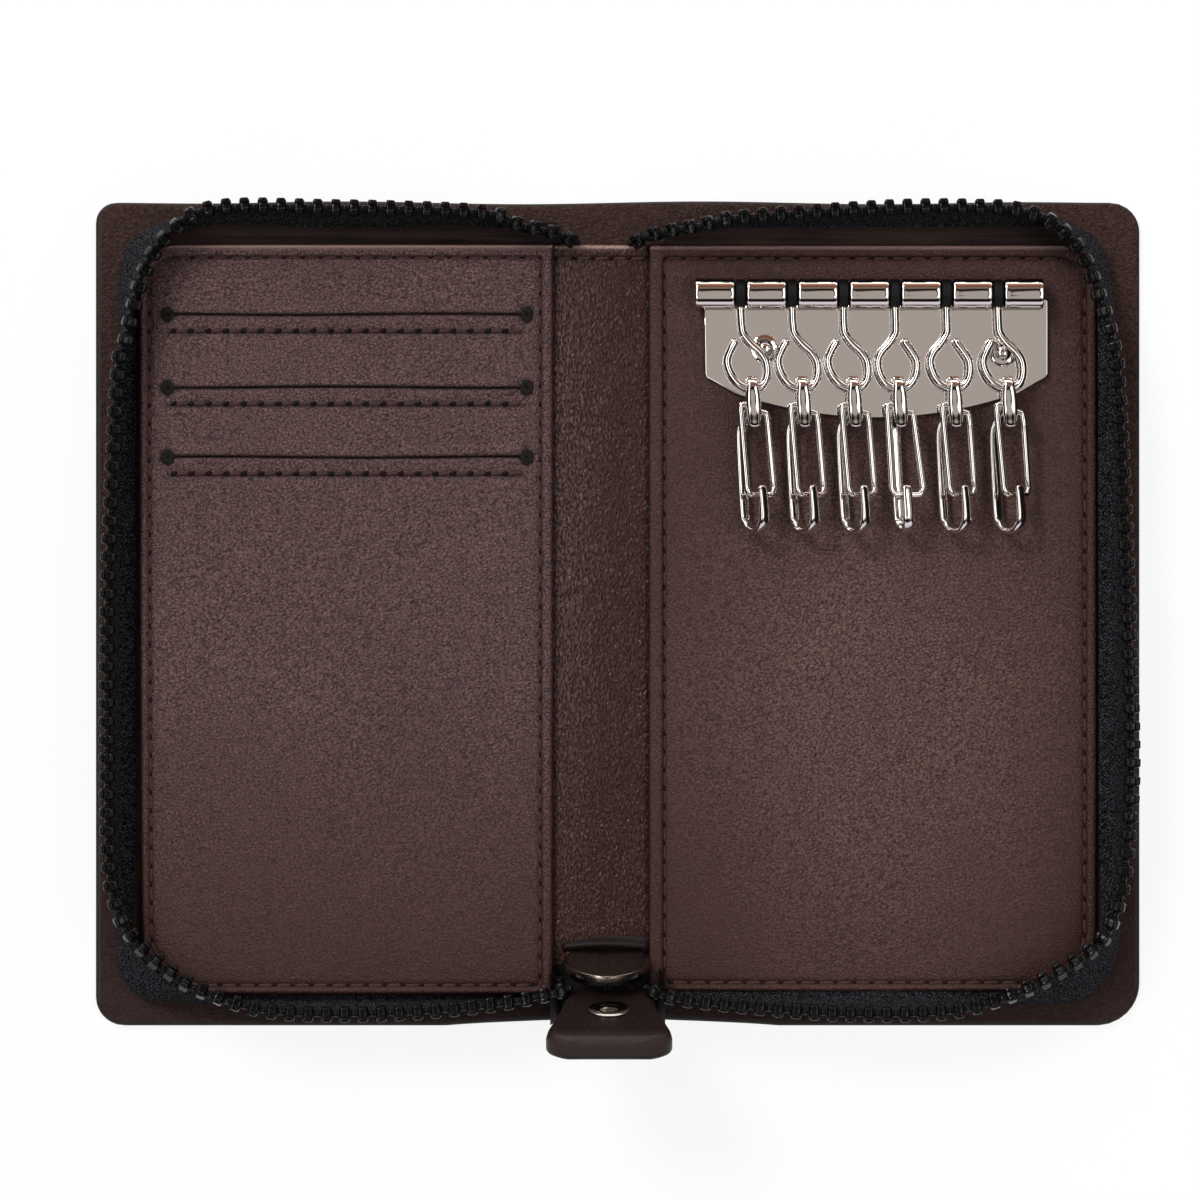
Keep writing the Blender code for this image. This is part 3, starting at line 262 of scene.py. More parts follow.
class Nodes:
    """Short ways to add nodes to a tree."""

    def __init__(self, tree):
        self.tree = tree

    def put(self, socket, value):
        if isinstance(value, bpy.types.NodeSocket):
            self.tree.links.new(value, socket)
        else:
            socket.default_value = value

    def node(self, kind, inputs=(), out=0, **settings):
        made = self.tree.nodes.new(f"ShaderNode{kind}")
        for key, value in settings.items():
            setattr(made, key, value)
        for key, value in dict(inputs).items():
            self.put(made.inputs[key], value)
        return made.outputs[out]

    def point(self):
        return self.node("TexCoord", out="Object")

    def place(self, scale=(1.0, 1.0, 1.0)):
        return self.node("Mapping", {"Vector": self.point(), "Scale": scale})

    def axis(self, vector, number):
        return self.node("SeparateXYZ", {0: vector}, number)

    def math(self, operation, a, b=0.0, c=0.0):
        return self.node("Math", {0: a, 1: b, 2: c}, operation=operation)

    def vector(self, operation, a, b=(0.0, 0.0, 0.0), out=0):
        return self.node("VectorMath", {0: a, 1: b}, out, operation=operation)

    def noise(self, point, scale, detail=3.0, rough=0.5, out=0):
        inputs = {"Vector": point, "Scale": scale, "Detail": detail, "Roughness": rough}
        return self.node("TexNoise", inputs, out)

    def cells(self, point, scale, randomness=1.0, dimensions="3D"):
        """Distance to the edges of small cells."""
        inputs = {"Vector": point, "Scale": scale, "Randomness": randomness}
        return self.node("TexVoronoi", inputs, "Distance", feature="DISTANCE_TO_EDGE",
                         voronoi_dimensions=dimensions)

    def span(self, value, low, high, to_low=0.0, to_high=1.0):
        ends = {"From Min": low, "From Max": high, "To Min": to_low, "To Max": to_high}
        return self.node("MapRange", {"Value": value, **ends})

    def tint(self, factor, low, high):
        low, high = ((*colour, 1.0) if isinstance(colour, tuple) else colour for colour in (low, high))
        return self.node("Mix", {0: factor, 6: low, 7: high}, 2, data_type="RGBA")

    def ramp(self, value, *bands):
        """Colour along a value: steady over each band of start, end and colour, and blended between bands."""
        stops = [(place, colour) for start, end, colour in bands for place in dict.fromkeys((start, end))]
        made = self.tree.nodes.new("ShaderNodeValToRGB")
        self.put(made.inputs[0], value)
        elements = made.color_ramp.elements
        for end, (place, colour) in ((0, stops[0]), (1, stops[-1])):
            elements[end].position = place
            elements[end].color = (*colour, 1.0)
        for place, colour in stops[1:-1]:
            elements.new(place).color = (*colour, 1.0)
        return made.outputs[0]


class Shader(Nodes):
    """A Principled material."""

    def __init__(self, name, roughness, metallic=0.0, specular=0.5):
        self.material = bpy.data.materials.new(name)
        self.material.use_nodes = True
        super().__init__(self.material.node_tree)
        self.bsdf = self.tree.nodes["Principled BSDF"]
        self.bsdf.inputs["Roughness"].default_value = roughness
        self.bsdf.inputs["Metallic"].default_value = metallic
        self.bsdf.inputs["Specular IOR Level"].default_value = specular

    def bump(self, height, distance, strength):
        return self.node("Bump", {"Height": height, "Distance": distance, "Strength": strength})

    def painted_shade_and_highlight(self, colour):
        """Darken with painted shade where the mesh marks a cut, a hole, a seam or a hollow, and lighten with
        a painted highlight where it marks a folded edge.
        """
        mark = self.node("Attribute", out=2, attribute_name="shade_and_highlight")
        colour = self.tint(self.math("MULTIPLY", mark, -1.0), colour, PAINTED_HIGHLIGHT_COLOUR)
        return self.tint(mark, colour, PAINTED_SHADE_COLOUR)

    def finish(self, colour, normal, roughness=None):
        self.put(self.bsdf.inputs["Base Color"], colour)
        self.put(self.bsdf.inputs["Normal"], normal)
        if roughness is not None:
            self.put(self.bsdf.inputs["Roughness"], roughness)
        return self.material


def leather(name, dark, light, roughness=0.48, grain=4100.0, turn=0.55, stretch=0.66, depth=0.00010,
            specular=0.25, painted_light=None):
    """Grained leather: short winding ridges whose direction drifts, with dark creases and a satin finish. The
    colour follows the ridges: partly the grain's own colour, partly painted shade in its creases.
    """
    s = Shader(name, roughness, specular=specular)
    drift = s.vector("MULTIPLY", s.noise(s.place((1.0, 0.4, 1.0)), 55.0, 1.0), (0.0, 0.004, 0.0))
    wander = s.vector("MULTIPLY", s.noise(s.place(), 1900.0, 0.0, out=1), (0.0003, 0.0003, 0.0))
    moved = s.vector("ADD", s.vector("ADD", s.place(), drift), wander)
    turned = s.node("Mapping", {"Vector": moved, "Rotation": (0.0, 0.0, -turn)})
    point = s.node("Mapping", {"Vector": turned, "Scale": (stretch, 1.0, 1.0)})
    ridges = s.math("MULTIPLY", s.span(s.noise(point, grain, 0.0), 0.40, 0.60), 0.5)
    height = s.math("MULTIPLY_ADD", s.span(s.cells(point, 0.50 * grain), 0.02, 0.24), 0.5, ridges)
    slow = s.noise(s.place(), 42.0, 4.0, 0.6)
    shade = s.math("MULTIPLY", height, s.span(slow, 0.3, 0.7, 0.86, 1.0))
    # The grain's own colour, with painted shade darkening its creases.
    colour = s.tint(shade, dark, light)
    if painted_light is not None:
        colour = painted_light(s, colour)
    rough = s.span(s.noise(s.place(), 900.0, 3.0), 0.3, 0.7, roughness - 0.05, roughness + 0.08)
    return s.finish(s.painted_shade_and_highlight(colour), s.bump(height, depth, 0.9), rough)


def plain_leather(name, dark, light, roughness):
    """Smooth lining leather with faint pores and slow folds, the colour following the folds as painted light
    and shade.
    """
    s = Shader(name, roughness, specular=0.22)
    point = s.place((1.0, 2.2, 1.0))
    pores = s.noise(point, 2600.0, 4.0, 0.65)
    folds = s.noise(point, 110.0, 3.0)
    colour = s.tint(s.span(folds, 0.3, 0.7), dark, light)
    height = s.math("MULTIPLY_ADD", folds, 2.5, pores)
    return s.finish(s.painted_shade_and_highlight(colour), s.bump(height, 0.00012, 0.6))


def thread(name, dark, light):
    """Fine fibres along the thread."""
    s = Shader(name, 0.72, specular=0.2)
    fibres = s.noise(s.place((1.0, 3.0, 1.0)), 5200.0, 2.0)
    return s.finish(s.tint(s.span(fibres, 0.35, 0.65), dark, light), s.bump(fibres, 0.00006, 0.7))


def edge_paint(name, dark, light):
    """Thick satin paint with slow lumps."""
    s = Shader(name, 0.42, specular=0.25)
    lumps = s.noise(s.place(), 480.0, 4.0, 0.6)
    return s.finish(s.tint(lumps, dark, light), s.bump(lumps, 0.0002, 0.6))


def woven_tape(name, dark, light):
    """Zip tape: small raised yarns in slanting rows over the tape's own length and width, and lint."""
    s = Shader(name, 0.90, specular=0.01)
    cloth = s.node("UVMap", uv_map="weave")
    turned = s.node("Mapping", {"Vector": cloth, "Scale": (1.0, 1.7, 1.0), "Rotation": (0.0, 0.0, 0.5)})
    raised = s.span(s.cells(turned, 1700.0, 0.8, "2D"), 0.0, 0.35)
    lint = s.noise(s.place(), 2200.0, 3.0, 0.7)
    shade = s.math("MULTIPLY", raised, s.span(lint, 0.40, 0.60, 0.1, 1.0))
    return s.finish(s.tint(shade, dark, light), s.bump(raised, 0.00014, 0.9))


def moulded_plastic(name, dark, light, roughness, specular):
    """Plastic with a faint mottle in colour, gloss and height."""
    s = Shader(name, roughness, specular=specular)
    mottle = s.noise(s.place(), 1400.0, 4.0, 0.6)
    rough = s.span(mottle, 0.3, 0.7, roughness - 0.08, roughness + 0.14)
    return s.finish(s.tint(mottle, dark, light), s.bump(mottle, 0.00008, 0.5), rough)


def plated_metal(name, dark, light, roughness, wear):
    """Polished plating with faint wavy polish marks and small dull specks."""
    s = Shader(name, roughness, metallic=1.0)
    polish = s.noise(s.place((1.0, 0.25, 1.0)), 240.0, 2.0)
    specks = s.span(s.noise(s.place(), 3000.0, 2.0), 0.60 - 0.10 * wear, 0.74)
    colour = s.tint(s.math("MULTIPLY", specks, wear), light, dark)
    smooth = s.span(polish, 0.3, 0.7, roughness, roughness + 0.03)
    rough = s.math("MULTIPLY_ADD", specks, 0.25 * wear, smooth)
    height = s.math("MULTIPLY_ADD", specks, -0.25 * wear, polish)
    return s.finish(colour, s.bump(height, 0.00006, 0.20 + 0.60 * wear), rough)


def painted_shade_rim(centre, reach, share, low_share, shade_colour=(0.030, 0.0105, 0.0075)):
    """Painted shade over a piece: redder and darker away from its middle, and towards its foot."""
    def apply(s, colour):
        point = s.point()
        away = s.vector("SUBTRACT", point, (*centre, 0.0))
        away = s.vector("MULTIPLY", away, (1 / reach[0], 1 / reach[1], 0.0))
        away = s.vector("LENGTH", away, out=1)
        low = s.span(s.axis(point, 1), -0.010, -0.062, 0.0, low_share)
        return s.tint(s.math("ADD", s.span(away, 0.35, 1.15, 0.0, share), low), colour, shade_colour)
    return apply


def lit_end(s, colour):
    """Painted light on the pull: lighter where its leather is folded over the end and turns to the light."""
    return s.tint(s.span(s.axis(s.point(), 1), 0.0190, 0.0215), colour, (0.025, 0.0155, 0.0150))


# Panels, spine and cover get painted shade at their rims and feet, and the pull painted light on its end.
PANEL_LEATHER = {
    -1: leather("card_panel_leather", (0.015, 0.0066, 0.0064), (0.125, 0.071, 0.070),
                painted_light=painted_shade_rim((-0.042, 0.0), (0.034, 0.060), 0.0, 0.80)),
    1: leather("key_panel_leather", (0.015, 0.0062, 0.0054), (0.136, 0.076, 0.068),
               painted_light=painted_shade_rim((0.042, -0.016), (0.032, 0.056), 0.66, 0.25)),
}
SPINE_LEATHER = leather("spine_leather", (0.005, 0.0020, 0.0015), (0.104, 0.056, 0.050), 0.36, 3200.0,
                        math.radians(86.0), 0.45, 0.00028, 0.32,
                        painted_shade_rim((-0.012, 0.020), (0.011, 0.090), 0.88, 0.25))
COVER_LEATHER = leather("cover_leather", (0.014, 0.0058, 0.0046), (0.050, 0.026, 0.0215), 0.55, 3900.0,
                        0.3, 0.5, 0.00007, 0.14,
                        painted_shade_rim((0.0, 0.06), (0.20, 0.12), 0.0, 0.50, (0.016, 0.009, 0.009)))
PULL_LEATHER = leather("pull_leather", (0.006, 0.0034, 0.0031), (0.016, 0.0088, 0.0083), 0.44, 3600.0,
                       0.0, 0.8, 0.00004, painted_light=lit_end)
LINING_LEATHER = plain_leather("lining_leather", (0.012, 0.0060, 0.005), (0.030, 0.015, 0.012), 0.55)
THREAD = thread("brown_thread", (0.024, 0.012, 0.011), (0.070, 0.036, 0.033))
# Near-black discs sunk in the stitch holes, as painted shade.
HOLE_SHADE = thread("stitch_hole_shade", (0.002, 0.001, 0.001), (0.006, 0.003, 0.003))
EYELET_THREAD = thread("eyelet_thread", (0.001, 0.001, 0.0009), (0.016, 0.0145, 0.0135))
CORD = thread("bead_cord", (0.0012, 0.0012, 0.0014), (0.005, 0.005, 0.0056))
PAINT = edge_paint("edge_paint", (0.006, 0.0045, 0.004), (0.026, 0.021, 0.019))
TAPE = woven_tape("zip_tape", (0.0015, 0.0015, 0.002), (0.075, 0.075, 0.086))
TEETH = moulded_plastic("zip_teeth", (0.0012, 0.0012, 0.0012), (0.004, 0.004, 0.004), 0.13, 0.20)
BLACK = moulded_plastic("black_plastic", (0.002, 0.002, 0.002), (0.007, 0.007, 0.007), 0.45, 0.20)
NICKEL = plated_metal("nickel_plate", (0.42, 0.39, 0.36), (0.84, 0.80, 0.77), 0.03, 0.10)
RIVET_METAL = plated_metal("rivet_metal", (0.10, 0.085, 0.075), (0.55, 0.50, 0.46), 0.14, 0.5)
GUNMETAL = plated_metal("gunmetal", (0.024, 0.019, 0.016), (0.25, 0.21, 0.185), 0.18, 0.8)
# Gunmetal darkened as painted shade, for the slider's parts that lie in shadow.
SHADED_GUNMETAL = plated_metal("shaded_gunmetal", (0.012, 0.011, 0.010), (0.045, 0.042, 0.040), 0.30, 0.6)


# Curves of one variable

def rise(value, width):
    """0 up to zero, 1 from the width on."""
    return np.clip(value / width, 0, 1)


def fall(value, width):
    """1 up to zero, 0 from the width on."""
    return np.clip(1 - value / width, 0, 1)


def dip(distance, width):
    """A smooth bump of height 1 about zero."""
    return np.exp(-(distance / width) ** 2)


def round_drop(inside, radius):
    """Drop of a quarter-round edge at a distance inside it."""
    inward = np.clip(radius - inside, 0, radius)
    return radius - np.sqrt(radius ** 2 - inward ** 2)


def crowded(count, low=-1.0, high=1.0):
    """Places from low to high, as shares of a quarter turn, crowded towards 1 and -1."""
    return np.sin(np.linspace(low, high, count) * math.pi / 2)


def wrinkle(x, y, scale_x, scale_y, seed):
    """Smooth repeatable waves made of a few sines."""
    rng = np.random.default_rng(seed)
    total = np.zeros_like(x)
    for k in range(9):
        kx, ky = rng.normal(0, 1.0 / scale_x), rng.normal(0, 1.0 / scale_y)
        total = total + np.sin(x * kx * 4 + y * ky * 4 + rng.uniform(0, 6.28)) / 3
    return total


def smooth_rows(rows, per_span):
    """Catmull-Rom curve through rows of numbers."""
    rows = np.array(rows, float)
    ends = np.concatenate([[rows[0] * 2 - rows[1]], rows, [rows[-1] * 2 - rows[-2]]])
    out = []
    for a, b, c, d in zip(ends, ends[1:], ends[2:], ends[3:]):
        for t in np.arange(per_span) / per_span:
            out.append(0.5 * (2 * b + (c - a) * t + (2 * a - 5 * b + 4 * c - d) * t ** 2
                              + (3 * b - a - 3 * c + d) * t ** 3))
    out.append(rows[-1])
    return np.array(out)


def run_along(points):
    """Length along a line from its first point to each."""
    return np.concatenate([[0], np.cumsum(np.linalg.norm(np.diff(points, axis=0), axis=1))])


def sample(path, length, where):
    """Rows of a path at the given lengths along it."""
    return np.stack([np.interp(where, length, column) for column in path.T], -1)


# Meshes

def link(name, data, *materials):
    obj = bpy.data.objects.new(name, data)
    bpy.context.scene.collection.objects.link(obj)
    for material in materials:
        data.materials.append(material)
    return obj


def mesh_from(name, verts, faces, *materials, sharp=180):
    data = bpy.data.meshes.new(name)
    data.from_pydata([tuple(v) for v in verts], [], faces)
    data.update()
    data.shade_smooth()
    data.set_sharp_from_angle(angle=math.radians(sharp))
    return link(name, data, *materials)


def mesh_from_bmesh(name, bm, *materials, sharp=40):
    bmesh.ops.recalc_face_normals(bm, faces=bm.faces)
    data = bpy.data.meshes.new(name)
    bm.to_mesh(data)
    bm.free()
    data.shade_smooth()
    data.set_sharp_from_angle(angle=math.radians(sharp))
    return link(name, data, *materials)


def march(low, high, coarse, fine, spots=()):
    """Grid lines from low to high, close together near the spots."""
    values = [low]
    while values[-1] < high - 0.5 * fine:
        near = min((abs(values[-1] - spot) for spot in spots), default=1.0)
        values.append(values[-1] + min(coarse, fine + 0.35 * near))
    values[-1] = high
    return np.array(values)


def rounded_distance(x, y, shape):
    """Signed distance to a rectangle whose two outer corners are round, negative inside.

    A shape is its x span, its y span and the radii of its low and top corners.
    """
    x_span, y_span, (low_radius, top_radius) = shape
    centre_x, centre_y = sum(x_span) / 2, sum(y_span) / 2
    outer = (x - centre_x) * centre_x > 0
    radius = np.where(outer, np.where(y < centre_y, low_radius, top_radius), 0.0002)
    qx = np.abs(x - centre_x) - (x_span[1] - x_span[0]) / 2 + radius
    qy = np.abs(y - centre_y) - (y_span[1] - y_span[0]) / 2 + radius
    return np.minimum(np.maximum(qx, qy), 0) + np.hypot(np.maximum(qx, 0), np.maximum(qy, 0)) - radius


def corner_limits(x, shape):
    """Lowest and highest y of the rounded rectangle at each x."""
    x_span, y_span, (low_radius, top_radius) = shape
    away = np.abs(max(x_span, key=abs) - x)
    return y_span[0] + round_drop(away, low_radius), y_span[1] - round_drop(away, top_radius)


def grid_points(xs, ys, low, top, reach=0.014):
    """Grid whose rows keep their y except near the ends, where they follow the outline."""
    x, y = np.meshgrid(xs, ys, indexing="ij")
    from_low = (low - ys[0])[:, None] * fall(y - ys[0], reach)
    from_top = (top - ys[-1])[:, None] * fall(ys[-1] - y, reach)
    return x, y + from_low + from_top


def slab(name, x, y, top, bottom, *materials, rim=None, shade_and_highlight=None):
    """A closed sheet between two heights over a grid. Faces in the rim take the second material.

    A mark says for each grid point how much painted shade it gets, or below zero how much painted highlight.
    """
    columns, rows = x.shape
    upper = np.stack([x, y, top], -1).reshape(-1, 3)
    lower = np.stack([x, y, np.zeros_like(x) + bottom], -1).reshape(-1, 3)
    count = columns * rows
    index = np.arange(count).reshape(columns, rows)
    a, b, c, d = index[:-1, :-1], index[1:, :-1], index[1:, 1:], index[:-1, 1:]
    faces = np.stack([a, b, c, d], -1).reshape(-1, 4).tolist()
    faces += (np.stack([d, c, b, a], -1).reshape(-1, 4) + count).tolist()
    ring = np.concatenate([index[:-1, 0], index[-1, :-1], index[:0:-1, -1], index[0, :0:-1]])
    after = np.roll(ring, -1)
    faces += np.stack([ring, ring + count, after + count, after], -1).tolist()
    obj = mesh_from(name, np.concatenate([upper, lower]), faces, *materials, sharp=62)
    if rim is not None:
        both = np.tile(rim.reshape(-1), 2)
        flags = np.array([all(both[list(face)]) for face in faces])
        obj.data.polygons.foreach_set("material_index", flags.astype(np.int32))
    # Painted shade and highlight for each point, read by the leather materials.
    if shade_and_highlight is not None:
        marks = obj.data.attributes.new("shade_and_highlight", "FLOAT", "POINT")
        values = np.tile(np.clip(shade_and_highlight, -1, 1).reshape(-1), 2)
        marks.data.foreach_set("value", values.astype(np.float32))
    return obj


def loft(name, rings, material):
    """Skin over rings of equal length, closed at both ends."""
    bm = bmesh.new()
    made = [[bm.verts.new(p) for p in ring] for ring in rings]
    for low, high in zip(made, made[1:]):
        for k in range(len(low)):
            n = (k + 1) % len(low)
            bm.faces.new((low[k], low[n], high[n], high[k]))
    bm.faces.new(made[0])
    bm.faces.new(made[-1])
    return mesh_from_bmesh(name, bm, material, sharp=50)


def tube(name, points, radius, sides, material, ends=True):
    """A round tube along a list of points, with domed ends or flat ones."""
    points = [Vector(p) for p in points]
    last = len(points) - 1
    domes = {0: (-1.35, -0.95, -0.5, 0.0), last: (0.0, 0.5, 0.95, 1.35)} if ends else {}
    angles = [2 * math.pi * j / sides for j in range(sides)]
    normal = (points[1] - points[0]).normalized().orthogonal().normalized()
    rings = []
    for k, point in enumerate(points):
        along = (points[min(k + 1, last)] - points[max(k - 1, 0)]).normalized()
        normal = (normal - along * normal.dot(along)).normalized()
        across = along.cross(normal)
        circle = [normal * math.cos(a) + across * math.sin(a) for a in angles]
        for tilt in domes.get(k, (0.0,)):
            centre = point + along * radius * math.sin(tilt)
            rings.append([centre + c * radius * math.cos(tilt) for c in circle])
    return loft(name, rings, material)


def lathe(name, profile, place, direction, material, steps=40, squareness=2.0):
    """A turned piece from (radius, height) points, closed on its axis or as a ring."""
    circle = []
    for k in range(steps):
        c, s = math.cos(2 * math.pi * k / steps), math.sin(2 * math.pi * k / steps)
        grow = (abs(c) ** squareness + abs(s) ** squareness) ** (-1 / squareness)
        circle.append((c * grow, s * grow))
    bm = bmesh.new()
    rings = []
    for radius, height in profile:
        spread = circle if radius > 0.0 else [(0.0, 0.0)]
        rings.append([bm.verts.new((radius * c, radius * s, height)) for c, s in spread])
    pairs = list(zip(rings, rings[1:]))
    if profile[0][0] > 0.0:
        pairs.append((rings[-1], rings[0]))
    for a, b in pairs:
        for k in range(steps):
            n = (k + 1) % steps
            face = [a[k % len(a)], a[n % len(a)], b[n % len(b)], b[k % len(b)]]
            bm.faces.new(list(dict.fromkeys(face)))
    obj = mesh_from_bmesh(name, bm, material, sharp=35)
    turn = Vector(direction).to_track_quat("Z", "Y").to_matrix().to_4x4()
    obj.matrix_world = Matrix.Translation(place) @ turn
    return obj


def mirrored(profile):
    """A profile followed by its mirror image below height zero."""
    return profile + [(radius, -height) for radius, height in reversed(profile)]


def plate(name, outline, low, high, soft, material):
    """An extruded outline with softened edges and flat faces."""
    bm = bmesh.new()
    base = [bm.verts.new((x, y, low)) for x, y in outline]
    cap = [bm.verts.new((x, y, high)) for x, y in outline]
    bm.faces.new(base)
    bm.faces.new(cap)
    for k in range(len(base)):
        n = (k + 1) % len(base)
        bm.faces.new((base[k], base[n], cap[n], cap[k]))
    rims = [e for e in bm.edges if abs(e.verts[0].co.z - e.verts[1].co.z) < 1e-9]
    bmesh.ops.bevel(bm, geom=rims, offset=soft, segments=3, profile=0.6, affect="EDGES")
    obj = mesh_from_bmesh(name, bm, material)
    for face in obj.data.polygons:
        face.use_smooth = len(face.vertices) < 6
    return obj


def template_of(bm):
    """Points and faces of a mesh under construction, to be copied many times."""
    bm.verts.index_update()
    verts = np.array([v.co for v in bm.verts])
    faces = [[v.index for v in face.verts] for face in bm.faces]
    bm.free()
    return verts, faces


def copies(name, template, frames, material):
    """One mesh of many copies of a template, each placed by a 4x4 matrix."""
    verts, faces = template
    all_verts, all_faces = [], []
    for k, place in enumerate(frames):
        matrix = np.array(place)
        all_verts.append(verts @ matrix[:3, :3].T + matrix[:3, 3])
        all_faces += [[i + k * len(verts) for i in face] for face in faces]
    return mesh_from(name, np.concatenate(all_verts), all_faces, material, sharp=45)


# Riding

def ride(obj, body, slot, *nodes):
    """The piece moves with a body, and stands for the nodes."""
    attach(obj, body)
    if nodes:
        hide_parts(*nodes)


def fold(obj, side, slot, *nodes, start=None, end=None):
    """The piece lies over the fold of a half, and stands for the nodes."""
    near, far = LEATHER_ZONE[side]
    start = start or (side * near, 0, 0)
    end = end or (side * far, 0, 0)
    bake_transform(obj)
    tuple(start)
    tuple(end)
    if nodes:
        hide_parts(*nodes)


# Covers and linings

def make_cover(side):
    """The outer leather of a half and of its part of the spine, with painted edges."""
    outer = side * COVER_OUTER_X[side]
    x_span = (min(0.0, outer), max(0.0, outer))
    shape = (x_span, COVER_Y, (COVER_LOW_RADIUS[side], COVER_TOP_RADIUS[side]))
    xs = march(*x_span, 0.0016, 0.00012, [outer, side * FOLD_X])
    ys = march(*COVER_Y, 0.0020, 0.00012, COVER_Y)
    low, top = corner_limits(xs, shape)
    low = low + COVER_RELIEF * fall(np.abs(xs), COVER_RELIEF_REACH) ** 0.7
    top = top + 0.00022 * np.sin(xs * 110.0) * rise(0.078 - np.abs(xs), 0.02)
    x, y = grid_points(xs, ys, low, top)
    ends = np.minimum(y - low[:, None], top[:, None] - y)
    corner = np.maximum(-rounded_distance(x, y, shape), 0)
    ends = np.where(np.abs(outer - x) < 0.008, np.minimum(ends, corner), ends)
    edge = np.minimum(np.abs(outer - x), ends)
    roll = COVER_ROLL * fall(edge, COVER_ROLL_WIDTH) ** 2
    swell = 0.00012 * wrinkle(x, y, 0.05, 0.05, 3) * rise(edge, 0.01)
    heights = COVER_THICKNESS - roll + np.clip(swell, -0.0002, 0.0002)
    rim = (np.abs(outer - x) < PAINT_WIDTH[side]) | (ends < np.where(y < 0, *PAINT_ENDS))
    obj = slab(f"{SIDES[side]}_cover_leather", x, y, heights, roll, COVER_LEATHER, PAINT, rim=rim)
    fold(obj, side, "leather", f"{SIDES[side]}_cover", *["spine_cover"] * (side < 0))


def make_lining(side):
    """Lining that shows above the panels, with small folds, a welt and a curled top edge, and painted shade
    on its top band by the zip.
    """
    outer = side * LINING_OUTER_X[side]
    x_span = (min(side * LINING_INNER_X, outer), max(side * LINING_INNER_X, outer))
    xs = march(*x_span, 0.0012, 0.0003, [side * FOLD_X])
    ys = march(*LINING_Y, 0.0016, 0.0002, [0.0600])
    x, y = grid_points(xs, ys, *corner_limits(xs, (x_span, LINING_Y, (LINING_RADIUS, LINING_RADIUS))))
    folds = 0.00016 * wrinkle(x, y, 0.022, 0.0045, 11 + side) * dip(y - 0.0604, 0.0018)
    curl = 0.0011 * rise(y - 0.0600, 0.0022) ** 1.5 * rise(0.070 - np.abs(x), 0.006)
    welt = 0.00045 * dip(y - LINING_WELT_Y - 0.0003 * np.sin(x * 60.0 + side), 0.0006)
    heights = LINING_TOP + np.clip(folds, -0.0002, 0.0004) + (curl + welt) * rise(np.abs(x), 0.02)
    # The lining's top band gets painted shade, darkest by the zip.
    obj = slab(f"{SIDES[side]}_lining_leather", x, y, heights, LINING_LOW, LINING_LEATHER,
               shade_and_highlight=0.55 * rise(y - 0.0602, 0.0018))
    fold(obj, side, "lining", f"{SIDES[side]}_lining")


# Panels

def slanted(x, y, side):
    """Move the outer edge in towards the foot of the panel."""
    return x - PANEL_SLANT[side] * y * rise(np.abs(x), 0.07) ** 4


def slit_relief(x, y):
    """Cut lines with raised lips and a sunken round end at both sides, and the painted shade in the cuts,
    their round ends and the stitch rows below.
    """
    inside = (x > SLIT_X[0]) & (x < SLIT_X[1])
    total = np.zeros_like(x)
    shade_and_highlight = np.zeros_like(x)
    for level in SLIT_YS:
        above = y - level - 0.00010 * np.sin(x * 130.0 + level * 900.0)
        lips = 0.00014 * dip(above - 0.0007, 0.0006) + 0.00008 * dip(above + 0.0006, 0.0004)
        total += np.where(inside, lips - SLIT_DEPTH * dip(above, 0.00019), 0)
        shade_and_highlight = np.maximum(shade_and_highlight, np.where(inside, 1.1 * dip(above, 0.00022), 0))
        row = y - level + SLIT_STITCH_DROP
        total -= 0.00016 * dip(row, 0.0006) * inside
        shade_and_highlight = np.maximum(shade_and_highlight, 0.75 * dip(row + 0.00026, 0.00024) * inside)
        for end in SLIT_X:
            away = np.hypot(x - end, 0.85 * above) / EYELET_RADIUS
            total -= 0.00040 * np.clip(1.3 - away, 0, 1)
            shade_and_highlight = np.maximum(shade_and_highlight, np.clip(1.6 - 1.5 * away, 0, 1) + 0.7 * dip(away - 1.0, 0.13))
    return total, shade_and_highlight


def hem_highlight(y):
    """A painted highlight along the folded top edge of the hem."""
    return dip(HEM_FOLD_Y - y, 0.00030)


def panel_heights(x, y, side):
    """Height of a panel, the painted shade in its seams, cuts and along its edge, and the painted highlight
    on its hem.
    """
    inside = -rounded_distance(x, y, (PANEL_X[side], PANEL_Y[side], PANEL_RADII))
    seam = rounded_distance(x, y, (STITCH_X[side], STITCH_Y[side], STITCH_RADII))
    groove = 0.00030 * dip(seam, 0.00040)
    strip = 0.9 * np.minimum(np.clip(seam, 0, None) * np.clip(inside, 0, None) / 0.0009, 0.0006)
    swell = 0.00026 * (1 - np.exp(-np.clip(-seam, 0, None) / 0.0022))
    drift = np.clip(0.00007 * wrinkle(x, y, 0.030, 0.045, 21 + side), -0.0001, 0.0001)
    total = PANEL_TOP[side] - round_drop(inside, PANEL_ROLL) - groove + strip + swell + drift
    # Painted shade in the seam's groove and along the panel's edge.
    shade_and_highlight = np.maximum(0.80 * dip(seam, 0.00024), 0.8 * fall(inside, 0.00020))
    if side < 0:
        cuts, marks = slit_relief(x, y)
        total = total + cuts
        shade_and_highlight = np.maximum(shade_and_highlight, marks)
    return total, shade_and_highlight - hem_highlight(y)


